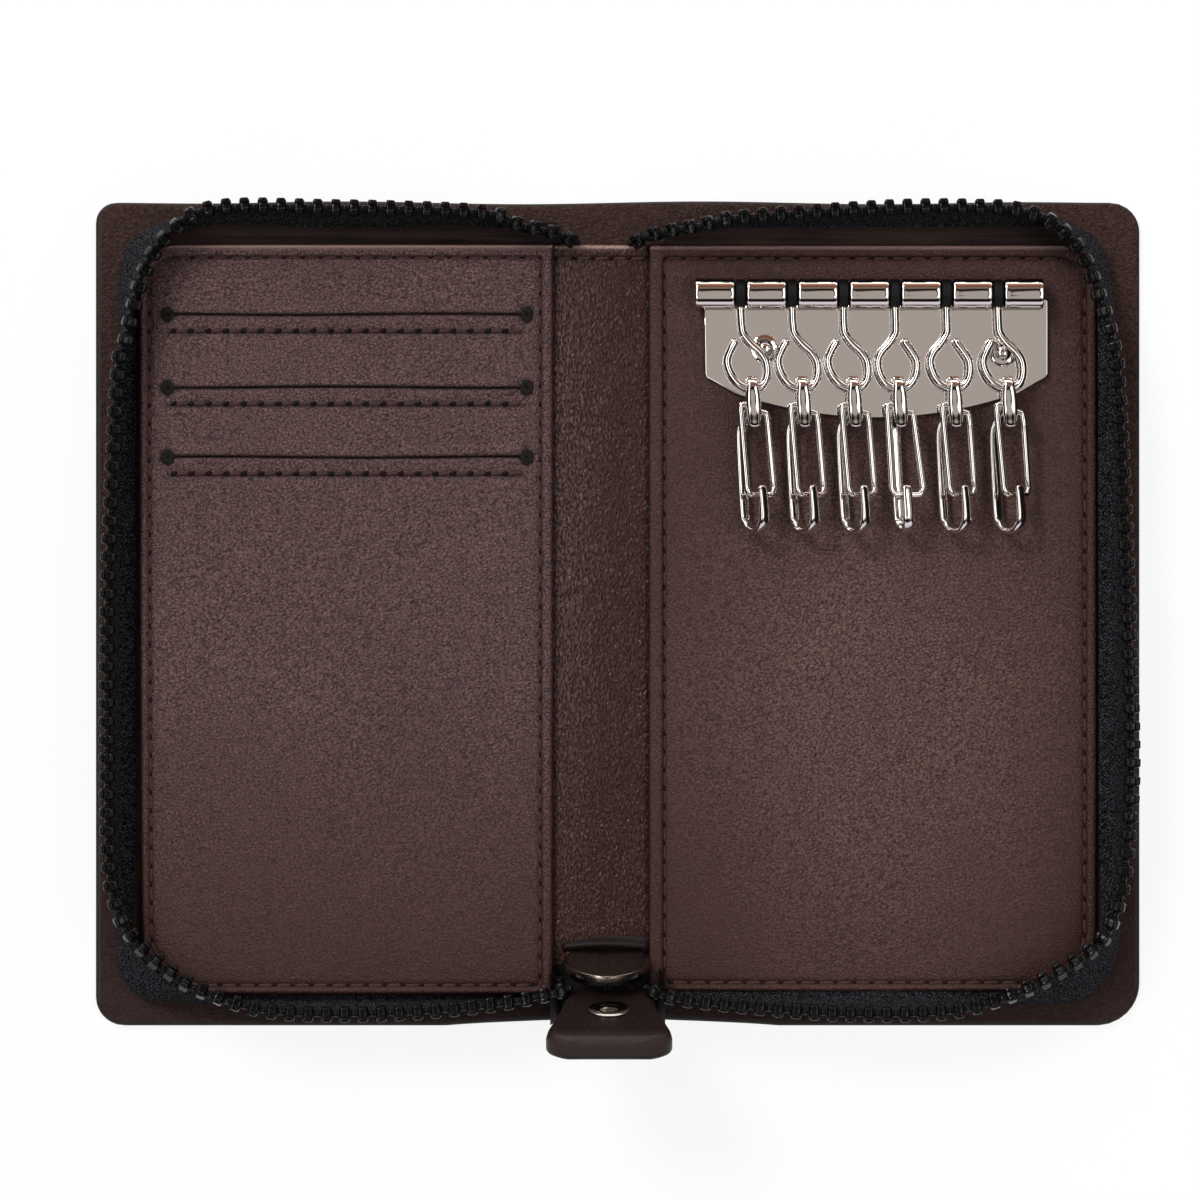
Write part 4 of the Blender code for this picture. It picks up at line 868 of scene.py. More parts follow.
def make_panel(side):
    """The stitched leather panel of a half."""
    spots_x = [*PANEL_X[side], *STITCH_X[side]]
    spots_y = [*PANEL_Y[side], *STITCH_Y[side]]
    if side < 0:
        spots_x += SLIT_X
        spots_y += SLIT_YS
        spots_y += [level - SLIT_STITCH_DROP for level in SLIT_YS]
    xs = march(*PANEL_X[side], 0.0010, 0.00014, spots_x)
    ys = march(*PANEL_Y[side], 0.0010, 0.00011, spots_y)
    x, y = grid_points(xs, ys, *corner_limits(xs, (PANEL_X[side], PANEL_Y[side], PANEL_RADII)))
    heights, shade_and_highlight = panel_heights(x, y, side)
    name = PANEL_NAMES[side]
    obj = slab(f"{name}_leather", slanted(x, y, side), y, heights, PANEL_BASE, PANEL_LEATHER[side],
               shade_and_highlight=shade_and_highlight)
    fold(obj, side, "leather", name, *[f"card_liner_{k}" for k in (1, 2, 3)] * (side < 0))


# Spine leather

def spine_heights(x, y):
    """Ridge at the card side, shallow middle and a valley before the key panel, with long wrinkles, and
    painted shade in the hem's groove, in the crease before the key panel and along the card side's edge.
    """
    share = (x - SPINE_X[0]) / (SPINE_X[1] - SPINE_X[0])
    base = 0.0034 - 0.0010 * share + 0.0002 * np.sin(share * math.pi * 2.0)
    waves = 0.00008 * wrinkle(x, y, 0.0022, 0.0110, 5) + 0.00003 * wrinkle(x, y, 0.0009, 0.0040, 6)
    waves = waves * rise(np.minimum(share, 1 - share), 0.12)
    rim = 0.0004 * fall(SPINE_Y[1] - y, 0.0006) ** 2
    hem = 0.00035 * rise(y - HEM_Y, 0.0004)
    groove = 0.00025 * dip(y - HEM_Y, 0.00035)
    drop = 0.0007 * rise(-0.0490 - y, 0.006) ** 2
    # Painted shade in the hem's groove, the crease before the key panel and the card side's edge.
    shade_and_highlight = np.maximum(0.80 * dip(y - HEM_Y, 0.00024), 0.75 * dip(x - 0.0056, 0.00035))
    shade_and_highlight = np.maximum(shade_and_highlight, 0.6 * dip(x + 0.0093, 0.0003))
    return base + waves + hem - groove - drop - rim, shade_and_highlight - hem_highlight(y)


def make_spine():
    """The wrinkled leather in two pieces, one to each fold."""
    ys = march(*SPINE_Y, 0.0007, 0.00015, [*SPINE_Y, HEM_Y])
    for side, x_span in ((-1, (SPINE_X[0], SPINE_SPLIT_X)), (1, (SPINE_SPLIT_X, SPINE_X[1]))):
        x, y = np.meshgrid(march(*x_span, 0.00024, 0.00024), ys, indexing="ij")
        heights, shade_and_highlight = spine_heights(x, y)
        obj = slab(f"{SIDES[side]}_spine_leather", x, y, heights, LINING_LOW, SPINE_LEATHER, shade_and_highlight=shade_and_highlight)
        fold(obj, side, "leather", *["spine_lining"] * (side < 0))


# Stitches

def stitch_template():
    """A short thread lying along X, unit length, with round ends."""
    bm = bmesh.new()
    bmesh.ops.create_uvsphere(bm, u_segments=8, v_segments=6, radius=1.0)
    verts, faces = template_of(bm)
    verts = verts[:, [2, 0, 1]]
    verts[:, 0] = np.sign(verts[:, 0]) * np.abs(verts[:, 0]) ** 0.6
    return verts, faces


def thread_frame(centre, direction, slant, length, radius):
    """Place of one thread on a surface, turned by its slant from the line's direction."""
    angle = math.atan2(direction[1], direction[0]) + slant
    size = Matrix.Diagonal((length / 2, radius, radius, 1.0))
    return Matrix.Translation(centre) @ Matrix.Rotation(angle, 4, "Z") @ size


def along_path(points, pitch, shift):
    """Centre and direction at every pitch along a list of 2D points."""
    flat = np.array(points)
    length = run_along(flat)
    count = int(length[-1] / pitch)
    where = (np.arange(count) + shift) * length[-1] / count
    ahead, behind = (sample(flat, length, where + step) for step in (0.0003, -0.0003))
    return sample(flat, length, where), ahead - behind


def laid(surface, path, pitch, slant, radius, lift, length, shift=0.5):
    """Stitches along a path, or with no shift the dark discs of painted shade in the holes between them.

    The surface gives the place across and the height at x, y, and the lift is how far above it they lie.
    """
    frames = []
    for (px, py), direction in zip(*along_path(path, pitch, shift)):
        x, z = surface(np.array([[px]]), np.array([[py]]))
        frames.append(thread_frame((float(x), py, float(z) + lift), direction, slant, length, radius))
    return frames


def seam_path(side):
    """Stitch line round a panel: down the inner side, round the foot and up the outer side, then the hem."""
    inner, outer = sorted(STITCH_X[side], key=abs)
    low, top = STITCH_Y[side]
    radius = STITCH_RADII[0]
    corner = [(outer - side * radius * (1 - math.sin(a)), low + radius * (1 - math.cos(a)))
              for a in np.linspace(0, math.pi / 2, 12)]
    return ([(inner, top), (inner, low), *corner, (outer, top - 0.0060)],
            [(inner, top), (outer - side * 0.0040, top)])


def place_threads(name, side, threads, hole_shades):
    """Two pieces of one seam: its threads, and dark discs of painted shade in the holes between them."""
    for part, frames, material in (("stitches", threads, THREAD), ("hole_shades", hole_shades, HOLE_SHADE)):
        fold(copies(f"{name}_{part}", stitch_template(), frames, material), side, "leather")


def make_stitches(side):
    """Seams of a panel, and the row below each slit."""
    def surface(x, y):
        return slanted(x, y, side)[0, 0], panel_heights(x, y, side)[0][0, 0]

    threads, hole_shades = [], []
    for path in seam_path(side):
        threads += laid(surface, path, STITCH_PITCH, 0.06, STITCH_RADIUS, 0.0, STITCH_LENGTH)
        hole_shades += laid(surface, path, STITCH_PITCH, 0.0, 0.00022, 0.00010, HOLE_LENGTH, 0.0)
    for level in SLIT_YS * (side < 0):
        row = level - SLIT_STITCH_DROP
        path = [(SLIT_X[0] + 0.001, row), (SLIT_X[1] - 0.0006, row)]
        threads += laid(surface, path, SLIT_STITCH_PITCH, 0.10, STITCH_RADIUS, 0.00004, 0.0022)
        hole_shades += laid(surface, path, SLIT_STITCH_PITCH, 0.35, 0.00036, 0.00022, 0.0011, 0.0)
    place_threads(f"{SIDES[side]}_panel", side, threads, hole_shades)


def make_spine_stitches():
    """The hem's stitches across the spine, shared out to its two pieces."""
    def surface(x, y):
        return x[0, 0], spine_heights(x, y)[0][0, 0]

    path = [(SPINE_X[0] + 0.0008, HEM_Y), (SPINE_X[1] - 0.0006, HEM_Y)]
    both = [laid(surface, path, STITCH_PITCH, 0.06, STITCH_RADIUS, lift, length, shift)
            for lift, length, shift in ((0.0, STITCH_LENGTH, 0.5), (0.00006, HOLE_LENGTH, 0.0))]
    for side in SIDES:
        chosen = [[f for f in frames if (f.translation.x - SPINE_SPLIT_X) * side > 0] for frames in both]
        place_threads(f"{SIDES[side]}_spine", side, *chosen)


def make_eyelets():
    """Round ends of the slits: a dense ring of short dark threads pulled into the hole."""
    reach = 0.56 * EYELET_RADIUS
    frames = []
    for level in SLIT_YS:
        for end in SLIT_X:
            for k in range(EYELET_THREADS):
                angle = 2 * math.pi * k / EYELET_THREADS
                out = (math.cos(angle), EYELET_STRETCH * math.sin(angle))
                centre = (end + reach * out[0], level + reach * out[1], PANEL_TOP[-1] + 0.00005 * (k % 3))
                frames.append(thread_frame(centre, out, 0.0, 0.98 * EYELET_RADIUS, 0.00016))
    fold(copies("slit_eyelets", stitch_template(), frames, EYELET_THREAD), -1, "leather")


# Zip

def zip_rows(side):
    """Tooth centres and tape foot at close steps, and the length to each."""
    path = smooth_rows(ZIP_ROWS[side], 24)
    length = run_along(path[:, :2])
    path[:, [0, 3]] *= side
    return path, length


def wall_up(row):
    """Direction of the tape wall from its foot to the teeth."""
    wall = np.array([row[0] - row[3], row[1] - row[4], row[2] - LINING_TOP])
    return wall / np.linalg.norm(wall)


def tape_section(row):
    """Centre line of the tape across its width: from the teeth down the wall and in along the floor."""
    top = row[:3] - wall_up(row) * CHAIN_RISE
    foot = np.array([row[3], row[4], LINING_TOP + 0.0005])
    inward = -foot[:2] / np.array([0.0790, 0.0620]) ** 4 * np.abs(foot[:2]) ** 2
    inward = np.append(inward / (np.linalg.norm(inward) + 1e-9), 0.0)
    at_top = rise(foot[1] - 0.0560, 0.005) * rise(0.078 - abs(foot[0]), 0.008)
    flange = TAPE_FLANGE * (1 - at_top) + TAPE_TOP_FLANGE * at_top
    toe = foot + inward * flange + (0.0, 0.0, 0.0001)
    heel = foot + inward * 0.15 * flange + (0.0, 0.0, 0.0009)
    bow = (top + heel) / 2 - inward * 0.00025
    return smooth_rows([top, bow, heel, foot * 0.35 + heel * 0.30 + toe * 0.35, toe], 4)


def tape_rings(path, length, where):
    """Closed section of the tape at each length along the zip, and how far across the tape its points are."""
    rings, widths = [], []
    steps = sample(path, length, where + TAPE_STEP / 2) - sample(path, length, where - TAPE_STEP / 2)
    for row, step in zip(sample(path, length, where), steps):
        centre = tape_section(row)
        along = np.array([*step[:2] / np.hypot(*step[:2]), 0.0])
        normal = np.cross(np.gradient(centre, axis=0), along)
        normal = normal / np.linalg.norm(normal, axis=1)[:, None]
        rings.append(np.concatenate([centre + normal * TAPE_HALF, (centre - normal * TAPE_HALF)[::-1]]))
        run = run_along(centre)
        widths.append(np.concatenate([run, run[::-1]]))
    return rings, widths


def make_tape(side):
    """Woven tape, from the teeth down the wall of a half and in along its floor."""
    path, length = zip_rows(side)
    stations = int(length[-1] / TAPE_STEP)
    where = np.linspace(0, length[-1], stations)
    rings, widths = tape_rings(path, length, where)
    ring = len(rings[0])
    faces = []
    for k in range(stations - 1):
        for j in range(ring):
            n = (j + 1) % ring
            faces.append([k * ring + j, k * ring + n, (k + 1) * ring + n, (k + 1) * ring + j][::side])
    faces.append(list(range(ring))[::-side])
    faces.append([(stations - 1) * ring + j for j in range(ring)][::side])
    obj = mesh_from(f"{SIDES[side]}_tape_cloth", np.concatenate(rings), faces, TAPE)
    layer = obj.data.uv_layers.new(name="weave")
    flat = np.stack([np.repeat(where, ring), np.concatenate(widths)], -1)
    corners = np.zeros(len(obj.data.loops), np.int32)
    obj.data.loops.foreach_get("vertex_index", corners)
    layer.data.foreach_set("uv", flat[corners].astype(np.float32).ravel())
    middle = Vector((FOLD_X, 0.0, FOLD_Z))
    start, end = middle - TAPE_TURN, middle + TAPE_TURN
    fold(obj, side, "tape", f"{SIDES[side]}_zip_tape", f"{SIDES[side]}_tape_end",
         start=(side * start.x, 0, start.z), end=(side * end.x, 0, end.z))


def tooth_template():
    """One moulded tooth: a rounded block, a raised knob at each end and the small head before the next."""
    length, width, height = TOOTH_SIZE
    knob = (0.85 * length, 0.34 * width, 0.75 * height)
    parts = [((length, width, height), (0.0, 0.0, 0.0), 0.0004)]
    parts += [(knob, (0.0, end * 0.33 * width, 0.42 * height), 0.0003) for end in (-1, 1)]
    parts.append(((0.0007, 0.0008, 0.0008), (0.5 * TOOTH_PITCH, 0.0, -0.0001), 0.00025))
    bm = bmesh.new()
    for size, shift, soft in parts:
        part = bmesh.new()
        bmesh.ops.create_cube(part, size=1.0, matrix=Matrix.Translation(shift) @ Matrix.Diagonal((*size, 1)))
        bmesh.ops.bevel(part, geom=part.edges, offset=soft, segments=3, profile=0.5, affect="EDGES")
        base = len(bm.verts)
        for v in part.verts:
            bm.verts.new(v.co)
        bm.verts.ensure_lookup_table()
        for face in part.faces:
            bm.faces.new([bm.verts[base + v.index] for v in face.verts])
        part.free()
    return template_of(bm)


def tooth_frames(side):
    """Place of each tooth, along the chain and up the wall, each turned a little in its own way."""
    path, length = zip_rows(side)
    count = int(length[-1] / TOOTH_PITCH)
    frames = []
    for k in range(count):
        where = (k + 0.5) * length[-1] / count
        row, ahead, behind = (sample(path, length, where + step) for step in (0.0, 0.0008, -0.0008))
        along = Vector(ahead[:3] - behind[:3]).normalized()
        across = Vector(wall_up(row)).cross(along).normalized()
        wall = along.cross(across).normalized()
        turn = Matrix((along, across, wall)).transposed().to_4x4()
        jitter = 0.05 * math.sin(k * 12.9898)
        frames.append(Matrix.Translation(row[:3]) @ turn @ Matrix.Rotation(jitter, 4, "Z"))
    return frames


def make_teeth(side):
    """A row of teeth and the bead cord that it sits on."""
    start, end = ((side * x, 0, 0) for x in CHAIN_ZONE)
    row = copies(f"{SIDES[side]}_tooth_row", tooth_template(), tooth_frames(side), TEETH)
    fold(row, side, "teeth", f"{SIDES[side]}_zip_teeth", f"{SIDES[side]}_teeth_end", start=start, end=end)
    path, length = zip_rows(side)
    rows = sample(path, length, np.linspace(0, length[-1], int(length[-1] / 0.0008)))
    points = [row[:3] - wall_up(row) * CORD_DROP for row in rows]
    cord = tube(f"{SIDES[side]}_bead_cord", points, CORD_RADIUS, 8, CORD)
    fold(cord, side, "tape", start=start, end=end)


# Slider and pull

def lean_point(x, s, n):
    """A point of the leaning slider."""
    return Vector((x, SLIDER_BASE_Y, SLIDER_BASE_Z)) + LEAN_UP * s + LEAN_IN * n


def lean_matrix(x, s, n):
    """The slider's lean, with its origin at a point of it."""
    turn = Matrix(((-1.0, 0.0, 0.0), LEAN_UP, LEAN_IN)).transposed().to_4x4()
    return Matrix.Translation(lean_point(x, s, n)) @ turn


def slider_half_width(s):
    rows = smooth_rows(SLIDER_HALF_WIDTHS, 4)
    return np.interp(s, rows[:, 0], rows[:, 1])


def slider_outline(width_share, length_share):
    """Lens shape of a slider plate, by shares of the full width and length."""
    stops = SLIDER_LENGTH * crowded(18, 0.0)
    right = [(float(slider_half_width(s)) * width_share, float(s) * length_share) for s in stops[:-1]]
    return right + [(0.0, SLIDER_LENGTH * length_share)] + [(-x, s) for x, s in reversed(right)]


def across_grid(stops, half_width, columns):
    """Grid over a leaning piece: x across it to its half width, and s along it."""
    across, s = np.meshgrid(crowded(columns), stops, indexing="ij")
    return across * half_width(s), s


def make_slider_face():
    """Inner plate of the slider, softly domed with a bright rim at its crown."""
    x, s = across_grid(SLIDER_LENGTH * crowded(30, 0.0, 0.998), slider_half_width, 33)
    edge = np.minimum(slider_half_width(s) - np.abs(x), (SLIDER_LENGTH - s) * 1.2)
    roll = 0.00036 * fall(edge, 0.0004) ** 2
    dome = 0.0005 * (1 - (x / 0.0070) ** 2) * (1 - ((s - 0.0064) / 0.0070) ** 2)
    obj = slab("slider_inner_plate", x, s, dome - roll, -SLIDER_PLATE, GUNMETAL)
    obj.matrix_world = lean_matrix(SLIDER_X, 0.0, 0.0)
    ride(obj, "spine", "gunmetal", "slider_body")


def make_slider_back():
    """Outer plate, the post between the plates and the bridge that the pull's link hangs on, in gunmetal
    darkened as painted shade.
    """
    back = plate("slider_outer_plate", slider_outline(*SLIDER_BACK_SHARES), -SLIDER_DEPTH,
                 SLIDER_PLATE - SLIDER_DEPTH, 0.00025, SHADED_GUNMETAL)
    post = plate("slider_post", POST_OUTLINE, 0.0004 - SLIDER_DEPTH, -0.0004, 0.0002, SHADED_GUNMETAL)
    for piece in (back, post):
        piece.matrix_world = lean_matrix(SLIDER_X, 0.0, 0.0)
        ride(piece, "spine", "gunmetal")
    points = [lean_point(SLIDER_X, s, n) for s, n in smooth_rows(BRIDGE_ROUTE, 6)]
    ride(tube("slider_bridge", points, BRIDGE_RADIUS, 14, SHADED_GUNMETAL, ends=False), "spine", "gunmetal")


def make_slider_lip():
    """Folded dark leather at the slider's foot, with painted shade over all of it, deepest at its front."""
    xs = march(LIP_X - LIP_HALF_WIDTH, LIP_X + LIP_HALF_WIDTH, 0.0004, 0.0004)
    ys = march(LIP_Y - 0.0011, LIP_Y + 0.0018, 0.00014, 0.00014)
    x, y = np.meshgrid(xs, ys, indexing="ij")
    share = np.clip(1 - ((x - LIP_X) / LIP_HALF_WIDTH) ** 2, 0, 1)
    ridge = LIP_HEIGHT * dip(y - LIP_Y - 0.0004, 0.0009) * (0.25 + 0.75 * share ** 0.35)
    # Painted shade over the whole lip, deepest at its front.
    shade_and_highlight = 0.55 + 0.35 * rise(LIP_Y - y, 0.0005)
    obj = slab("slider_lip_leather", x, y - 0.0005 * (1 - share), 0.0025 + ridge, 0.0021, PULL_LEATHER,
               shade_and_highlight=shade_and_highlight)
    ride(obj, "spine", "leather", "slider_lip")


def make_gusset():
    """Black cloth that the tapes leave behind the slider: a sunken floor, raised to a wall at both sides."""
    xs = march(*GUSSET_X, 0.0002, 0.0002)
    ys = march(*GUSSET_Y, 0.0004, 0.0004)
    middle, half = sum(GUSSET_X) / 2, (GUSSET_X[1] - GUSSET_X[0]) / 2
    outward = np.clip(np.abs(xs - middle) / half, 0, 1)
    x, y = grid_points(xs, ys, np.full(len(xs), ys[0]), ys[-1] - 0.0042 * outward ** 2.5)
    walls = rise(outward[:, None] - 0.86, 0.14) * rise(-0.0545 - y, 0.0060)
    heights = 0.0034 - 0.0014 * rise(-0.0555 - y, 0.0025) + GUSSET_WALL * walls
    ride(slab("slider_gusset", x, y, heights, heights - 0.0005, CORD), "spine", "tape")


def pull_half_width(s):
    """Half width of the tab at a distance from its root."""
    return np.interp(s, *zip(*PULL_HALF_WIDTHS))


def make_pull_tab(place):
    """Leather tab with a deeply rolled face and a dent round its rivet."""
    stops = np.concatenate([np.linspace(0, 0.019, 26), 0.019 + 0.0036 * crowded(14, 0.08)])
    x, s = across_grid(stops, pull_half_width, 41)
    edge = np.minimum(pull_half_width(s) - np.abs(x), s + 0.0002)
    edge = np.minimum(edge, (PULL_LENGTH - s) * 1.4)
    roll = round_drop(edge, PULL_EDGE_RADIUS)
    dent = 0.0005 * dip(np.hypot(x, s - PULL_RIVET_S), 0.0046)
    back = -PULL_THICKNESS + 0.5 * roll + dent
    obj = slab("pull_tab_leather", x, s, -roll - dent, back, PULL_LEATHER, PAINT)
    obj.matrix_world = place
    ride(obj, "pull", "leather", "pull_tab")
    obj.data.polygons.foreach_set("material_index", pull_paint(obj))


def pull_paint(obj):
    """The rolled face covers most of the tab's edge, and a thin line of paint closes it at the back."""
    low = -PULL_THICKNESS + 0.0003
    high = low + 0.0006
    return np.array([low < face.center.z < high for face in obj.data.polygons], np.int32)


def make_pull_rivet(place):
    """One shank with a dished cap on both faces of the tab."""
    cap = [(0.0, 0.0006), (0.0008, 0.00056), (0.0014, 0.00042), (0.0018, 0.0003), (0.0023, 0.0004),
           (0.0028, 0.00046), (0.0031, 0.00036), (PULL_RIVET_RADIUS, 0.0002), (PULL_RIVET_RADIUS, 0.0)]
    shank = [(0.0012, -0.0003), (0.0012, -PULL_THICKNESS)]
    back = [(radius, -PULL_THICKNESS - height - 0.0002) for radius, height in reversed(cap)]
    rivet = lathe("pull_rivet_caps", cap + shank + back, (0, 0, 0), (0, 0, 1), RIVET_METAL)
    rivet.matrix_world = place @ Matrix.Translation((0, PULL_RIVET_S, -0.00020))
    ride(rivet, "pull", "nickel", "pull_rivet")


def make_pull():
    place = lean_matrix(PULL_X, PULL_ROOT_S, -PULL_FACE_DEPTH)
    make_pull_tab(place)
    make_pull_rivet(place)
    path = [lean_point(PULL_X - x, s, n) for x, s, n in reversed(LINK_HALF)]
    path += [lean_point(PULL_X + x, s, n) for x, s, n in LINK_HALF]
    wire = tube("pull_link_wire", smooth_rows([tuple(p) for p in path], 5), LINK_RADIUS, 12, GUNMETAL)
    ride(wire, "pull", "gunmetal", "pull_link")


# Key row

def row_outline():
    """The plate below the tubes, cut back at its lower corners and bowed at its foot."""
    left, right = ROW_PLATE_X
    side_y, foot_y, top = ROW_PLATE_SIDE_Y, ROW_PLATE_FOOT_Y, ROW_PLATE_TOP
    left_foot, right_foot = left + ROW_PLATE_CUT, right - ROW_PLATE_CUT
    middle, half = (left_foot + right_foot) / 2, (right_foot - left_foot) / 2
    points = [(left + 0.0002, side_y + 0.0006), (left + 0.0004, side_y), (left_foot, foot_y)]
    for k in range(1, 20):
        across = -1 + k / 10
        points.append((middle + half * across, foot_y - (foot_y - ROW_PLATE_LOW_Y) * (1 - across ** 2)))
    points += [(right_foot, foot_y), (right - 0.0003, side_y), (right, side_y + 0.0006)]
    points += [(right, top - 0.0004), (right - 0.0008, top), (left, top)]
    return points


def row_turned(name, profile, x, body, slot, node, material, **look):
    """A piece turned about the axis of the key row. Half of its profile is given."""
    piece = lathe(name, mirrored(profile), (x, ROW_AXIS_Y, ROW_AXIS_Z), (1, 0, 0), material, **look)
    ride(piece, body, slot, *node)


def make_row():
    """Stamped plate with seven rolled tubes, two dome rivets and the rod through the tubes."""
    face = ROW_PLATE_Z + ROW_PLATE_THICKNESS
    base = plate("key_row_plate", row_outline(), ROW_PLATE_Z, face, 0.00022, NICKEL)
    ride(base, "right_half", "nickel", "key_row")
    half, lip, outer, bore = ROW_SEGMENT / 2, ROW_TUBE_LIP, ROW_TUBE_RADIUS, ROW_BORE_RADIUS
    profile = [(bore, half - lip), (bore + lip, half), (outer - lip, half),
               (outer - 0.3 * lip, half - 0.3 * lip), (outer, half - lip), (outer - 0.00005, half - 0.0009)]
    for k in range(ROW_SEGMENTS):
        middle = ROW_LEFT_X + (k + 0.5) * ROW_SEGMENT + k * ROW_GAP
        row_turned(f"key_row_roll_{k + 1}", profile, middle, "right_half", "nickel", (), NICKEL,
                   steps=56, squareness=ROW_TUBE_SQUARENESS)
    for k, (side, place) in enumerate(RIVET_PLACES.items()):
        head = lathe(f"row_rivet_dome_{k + 1}", RIVET_DOME, (*place, face), (0, 0, 1), NICKEL)
        ride(head, "right_half", "nickel", f"row_rivet_{side}")
    half = (ROW_RIGHT_X - ROW_LEFT_X) / 2 - 0.0002
    profile = [(0.0, half), (ROD_RADIUS - 0.0003, half), (ROD_RADIUS, half - 0.0003)]
    row_turned("key_row_rod", profile, (ROW_LEFT_X + ROW_RIGHT_X) / 2, "right_half", "black_plastic",
               ["key_rod"], BLACK)


# Hooks

def make_bush(number, x):
    """Black ring on the rod, in a gap of the key row."""
    half = BUSH_WIDTH / 2
    profile = [(BUSH_BORE, half), (BUSH_RADIUS - 0.0002, half), (BUSH_RADIUS, half - 0.0002)]
    row_turned(f"bush_{number}", profile, x, f"hook_{number}", "black_plastic", [f"hook_bush_{number}"],
               BLACK)


def make_loop(number, x, shift, power, open_side):
    """Pear-shaped wire from the bush, drifting to the side on its way down."""
    points = []
    for across, away in smooth_rows(LOOP_SHAPE, 6):
        drift = shift * (away / LOOP_REACH) ** power
        points.append((x + open_side * across + drift, ROW_AXIS_Y - away * math.cos(LOOP_TILT),
                       ROW_AXIS_Z + away * math.sin(LOOP_TILT)))
    wire = tube(f"pear_loop_{number}", points, LOOP_RADIUS, 18, NICKEL)
    ride(wire, f"hook_{number}", "nickel", f"hook_loop_{number}")


def snap_point(x, turn, across, down, outward):
    """A point of a snap hook: measured from its eye, with the hook turned about its long axis."""
    aside = across * math.cos(turn) + (outward - SNAP_BODY_SHIFT) * math.sin(turn)
    up = outward * math.cos(turn) - across * math.sin(turn)
    return Vector((x + SNAP_LEAN * down + aside, ROW_AXIS_Y - LOOP_REACH * math.cos(LOOP_TILT) - down,
                   ROW_AXIS_Z + LOOP_REACH * math.sin(LOOP_TILT) + up))


def snap_rows():
    """Bent strip as rows of down, outward, half width, half thickness and share of the turn."""
    rows = [(0.0061, 0.0007, 0.00045, 0.00026, 0.0), (0.0058, 0.0008, 0.00090, 0.00040, 0.0),
            (0.0050, 0.0009, 0.00112, 0.00050, 0.0), (0.0034, 0.0012, 0.00120, 0.00058, 0.0),
            (0.0014, 0.0014, 0.00115, 0.00058, 0.0)]
    for degrees in range(75, -136, -30):
        angle = math.radians(degrees)
        down, outward = -SNAP_RING_RADIUS * math.cos(angle), SNAP_RING_RADIUS * math.sin(angle)
        rows.append((down, outward, 0.00090, 0.00045, 0.0))
    shank, front = -SNAP_EYE_DEPTH, SNAP_HOOK_DEPTH - SNAP_EYE_DEPTH
    rows += [(0.0026, -0.0012, 0.00095, 0.00038, 0.3), (0.0048, -0.0020, 0.00095, 0.00036, 0.7),
             (0.0072, shank + 0.0002, 0.00095, 0.00036, 1.0), (0.0130, shank, 0.00095, 0.00040, 1.0),
             (SNAP_BEND_V, shank, 0.00095, 0.00045, 1.0)]
    bend_radius = SNAP_HOOK_DEPTH / 2
    for degrees in (30, 60, 90, 120, 150):
        angle = math.radians(degrees)
        rows.append((SNAP_BEND_V + bend_radius * math.sin(angle), shank + bend_radius * (1 - math.cos(angle)),
                     0.00092 - 0.00006 * degrees / 150, 0.00052, 1.0))
    rows += [(SNAP_BEND_V, front, 0.00085, 0.00048, 1.0),
             (SNAP_TIP_V + 0.0010, front - 0.0001, 0.00076, 0.00040, 1.0),
             (SNAP_TIP_V + 0.0001, front - 0.0002, 0.00064, 0.00032, 1.0),
             (SNAP_TIP_V - 0.0001, front - 0.0002, 0.00030, 0.00018, 1.0)]
    return smooth_rows(rows, 4)


def make_snap(number, x, turn):
    """The hook's body: one bent strip, swept with a softly squared section."""
    rows = snap_rows()
    rings = []
    for k, (down, outward, half_width, half_depth, share) in enumerate(rows):
        before, after = rows[max(k - 1, 0)], rows[min(k + 1, len(rows) - 1)]
        along = Vector((after[0] - before[0], after[1] - before[1])).normalized()
        normal = Vector((-along.y, along.x))
        ring = []
        for j in range(SNAP_SIDES):
            angle = 2 * math.pi * j / SNAP_SIDES
            a, b = (math.copysign(abs(c) ** 0.7, c) for c in (math.cos(angle), math.sin(angle)))
            lift = normal * (b * half_depth)
            ring.append(snap_point(x, turn * min(max(share, 0.0), 1.0), a * half_width, down + lift.x,
                                   outward + lift.y))
        rings.append(ring)
    ride(loft(f"snap_{number}_body", rings, NICKEL), f"snap_{number}", "nickel", f"snap_hook_{number}")


def corner_cut(points, reach=0.0012):
    """Keep long stretches straight: add a point near both ends of each long step."""
    out = [points[0]]
    for a, b in zip(points, points[1:]):
        length = (b - a).length
        if length > 3 * reach:
            out += [a.lerp(b, reach / length), a.lerp(b, 1 - reach / length)]
        out.append(b)
    return out


def make_gate(number, x, turn):
    """Spring wire from the hook's head down to its tip and back.

    Its shape is in rows of across, down, outward and share of the turn.
    """
    head, bar = GATE_HEAD, GATE_BAR
    shape = ((-0.0011, 0.0026, head, 0.0), (-0.0018, 0.0027, head, 0.0), (-0.0021, 0.0031, head, 0.0),
             (-0.0021, 0.0042, head + 0.0001, 0.0), (-0.0021, 0.0158, bar - 0.0001, 1.0),
             (-0.0018, 0.0166, bar, 1.0), (-0.0011, 0.0169, bar, 1.0), (0.0020, 0.0169, bar, 1.0),
             (0.0027, 0.0166, bar, 1.0), (0.0030, 0.0158, bar - 0.0001, 1.0),
             (0.0021, 0.0056, head + 0.0001, 0.0), (0.0020, 0.0044, head, 0.0), (0.0018, 0.0040, head, 0.0),
             (0.0011, 0.0038, head, 0.0))
    placed = [snap_point(x, turn * share, u, v, w) for u, v, w, share in shape]
    wire = tube(f"snap_{number}_gate", smooth_rows(corner_cut(placed), 3), GATE_RADIUS, 14, NICKEL)
    ride(wire, f"gate_{number}", "nickel", f"snap_gate_{number}")


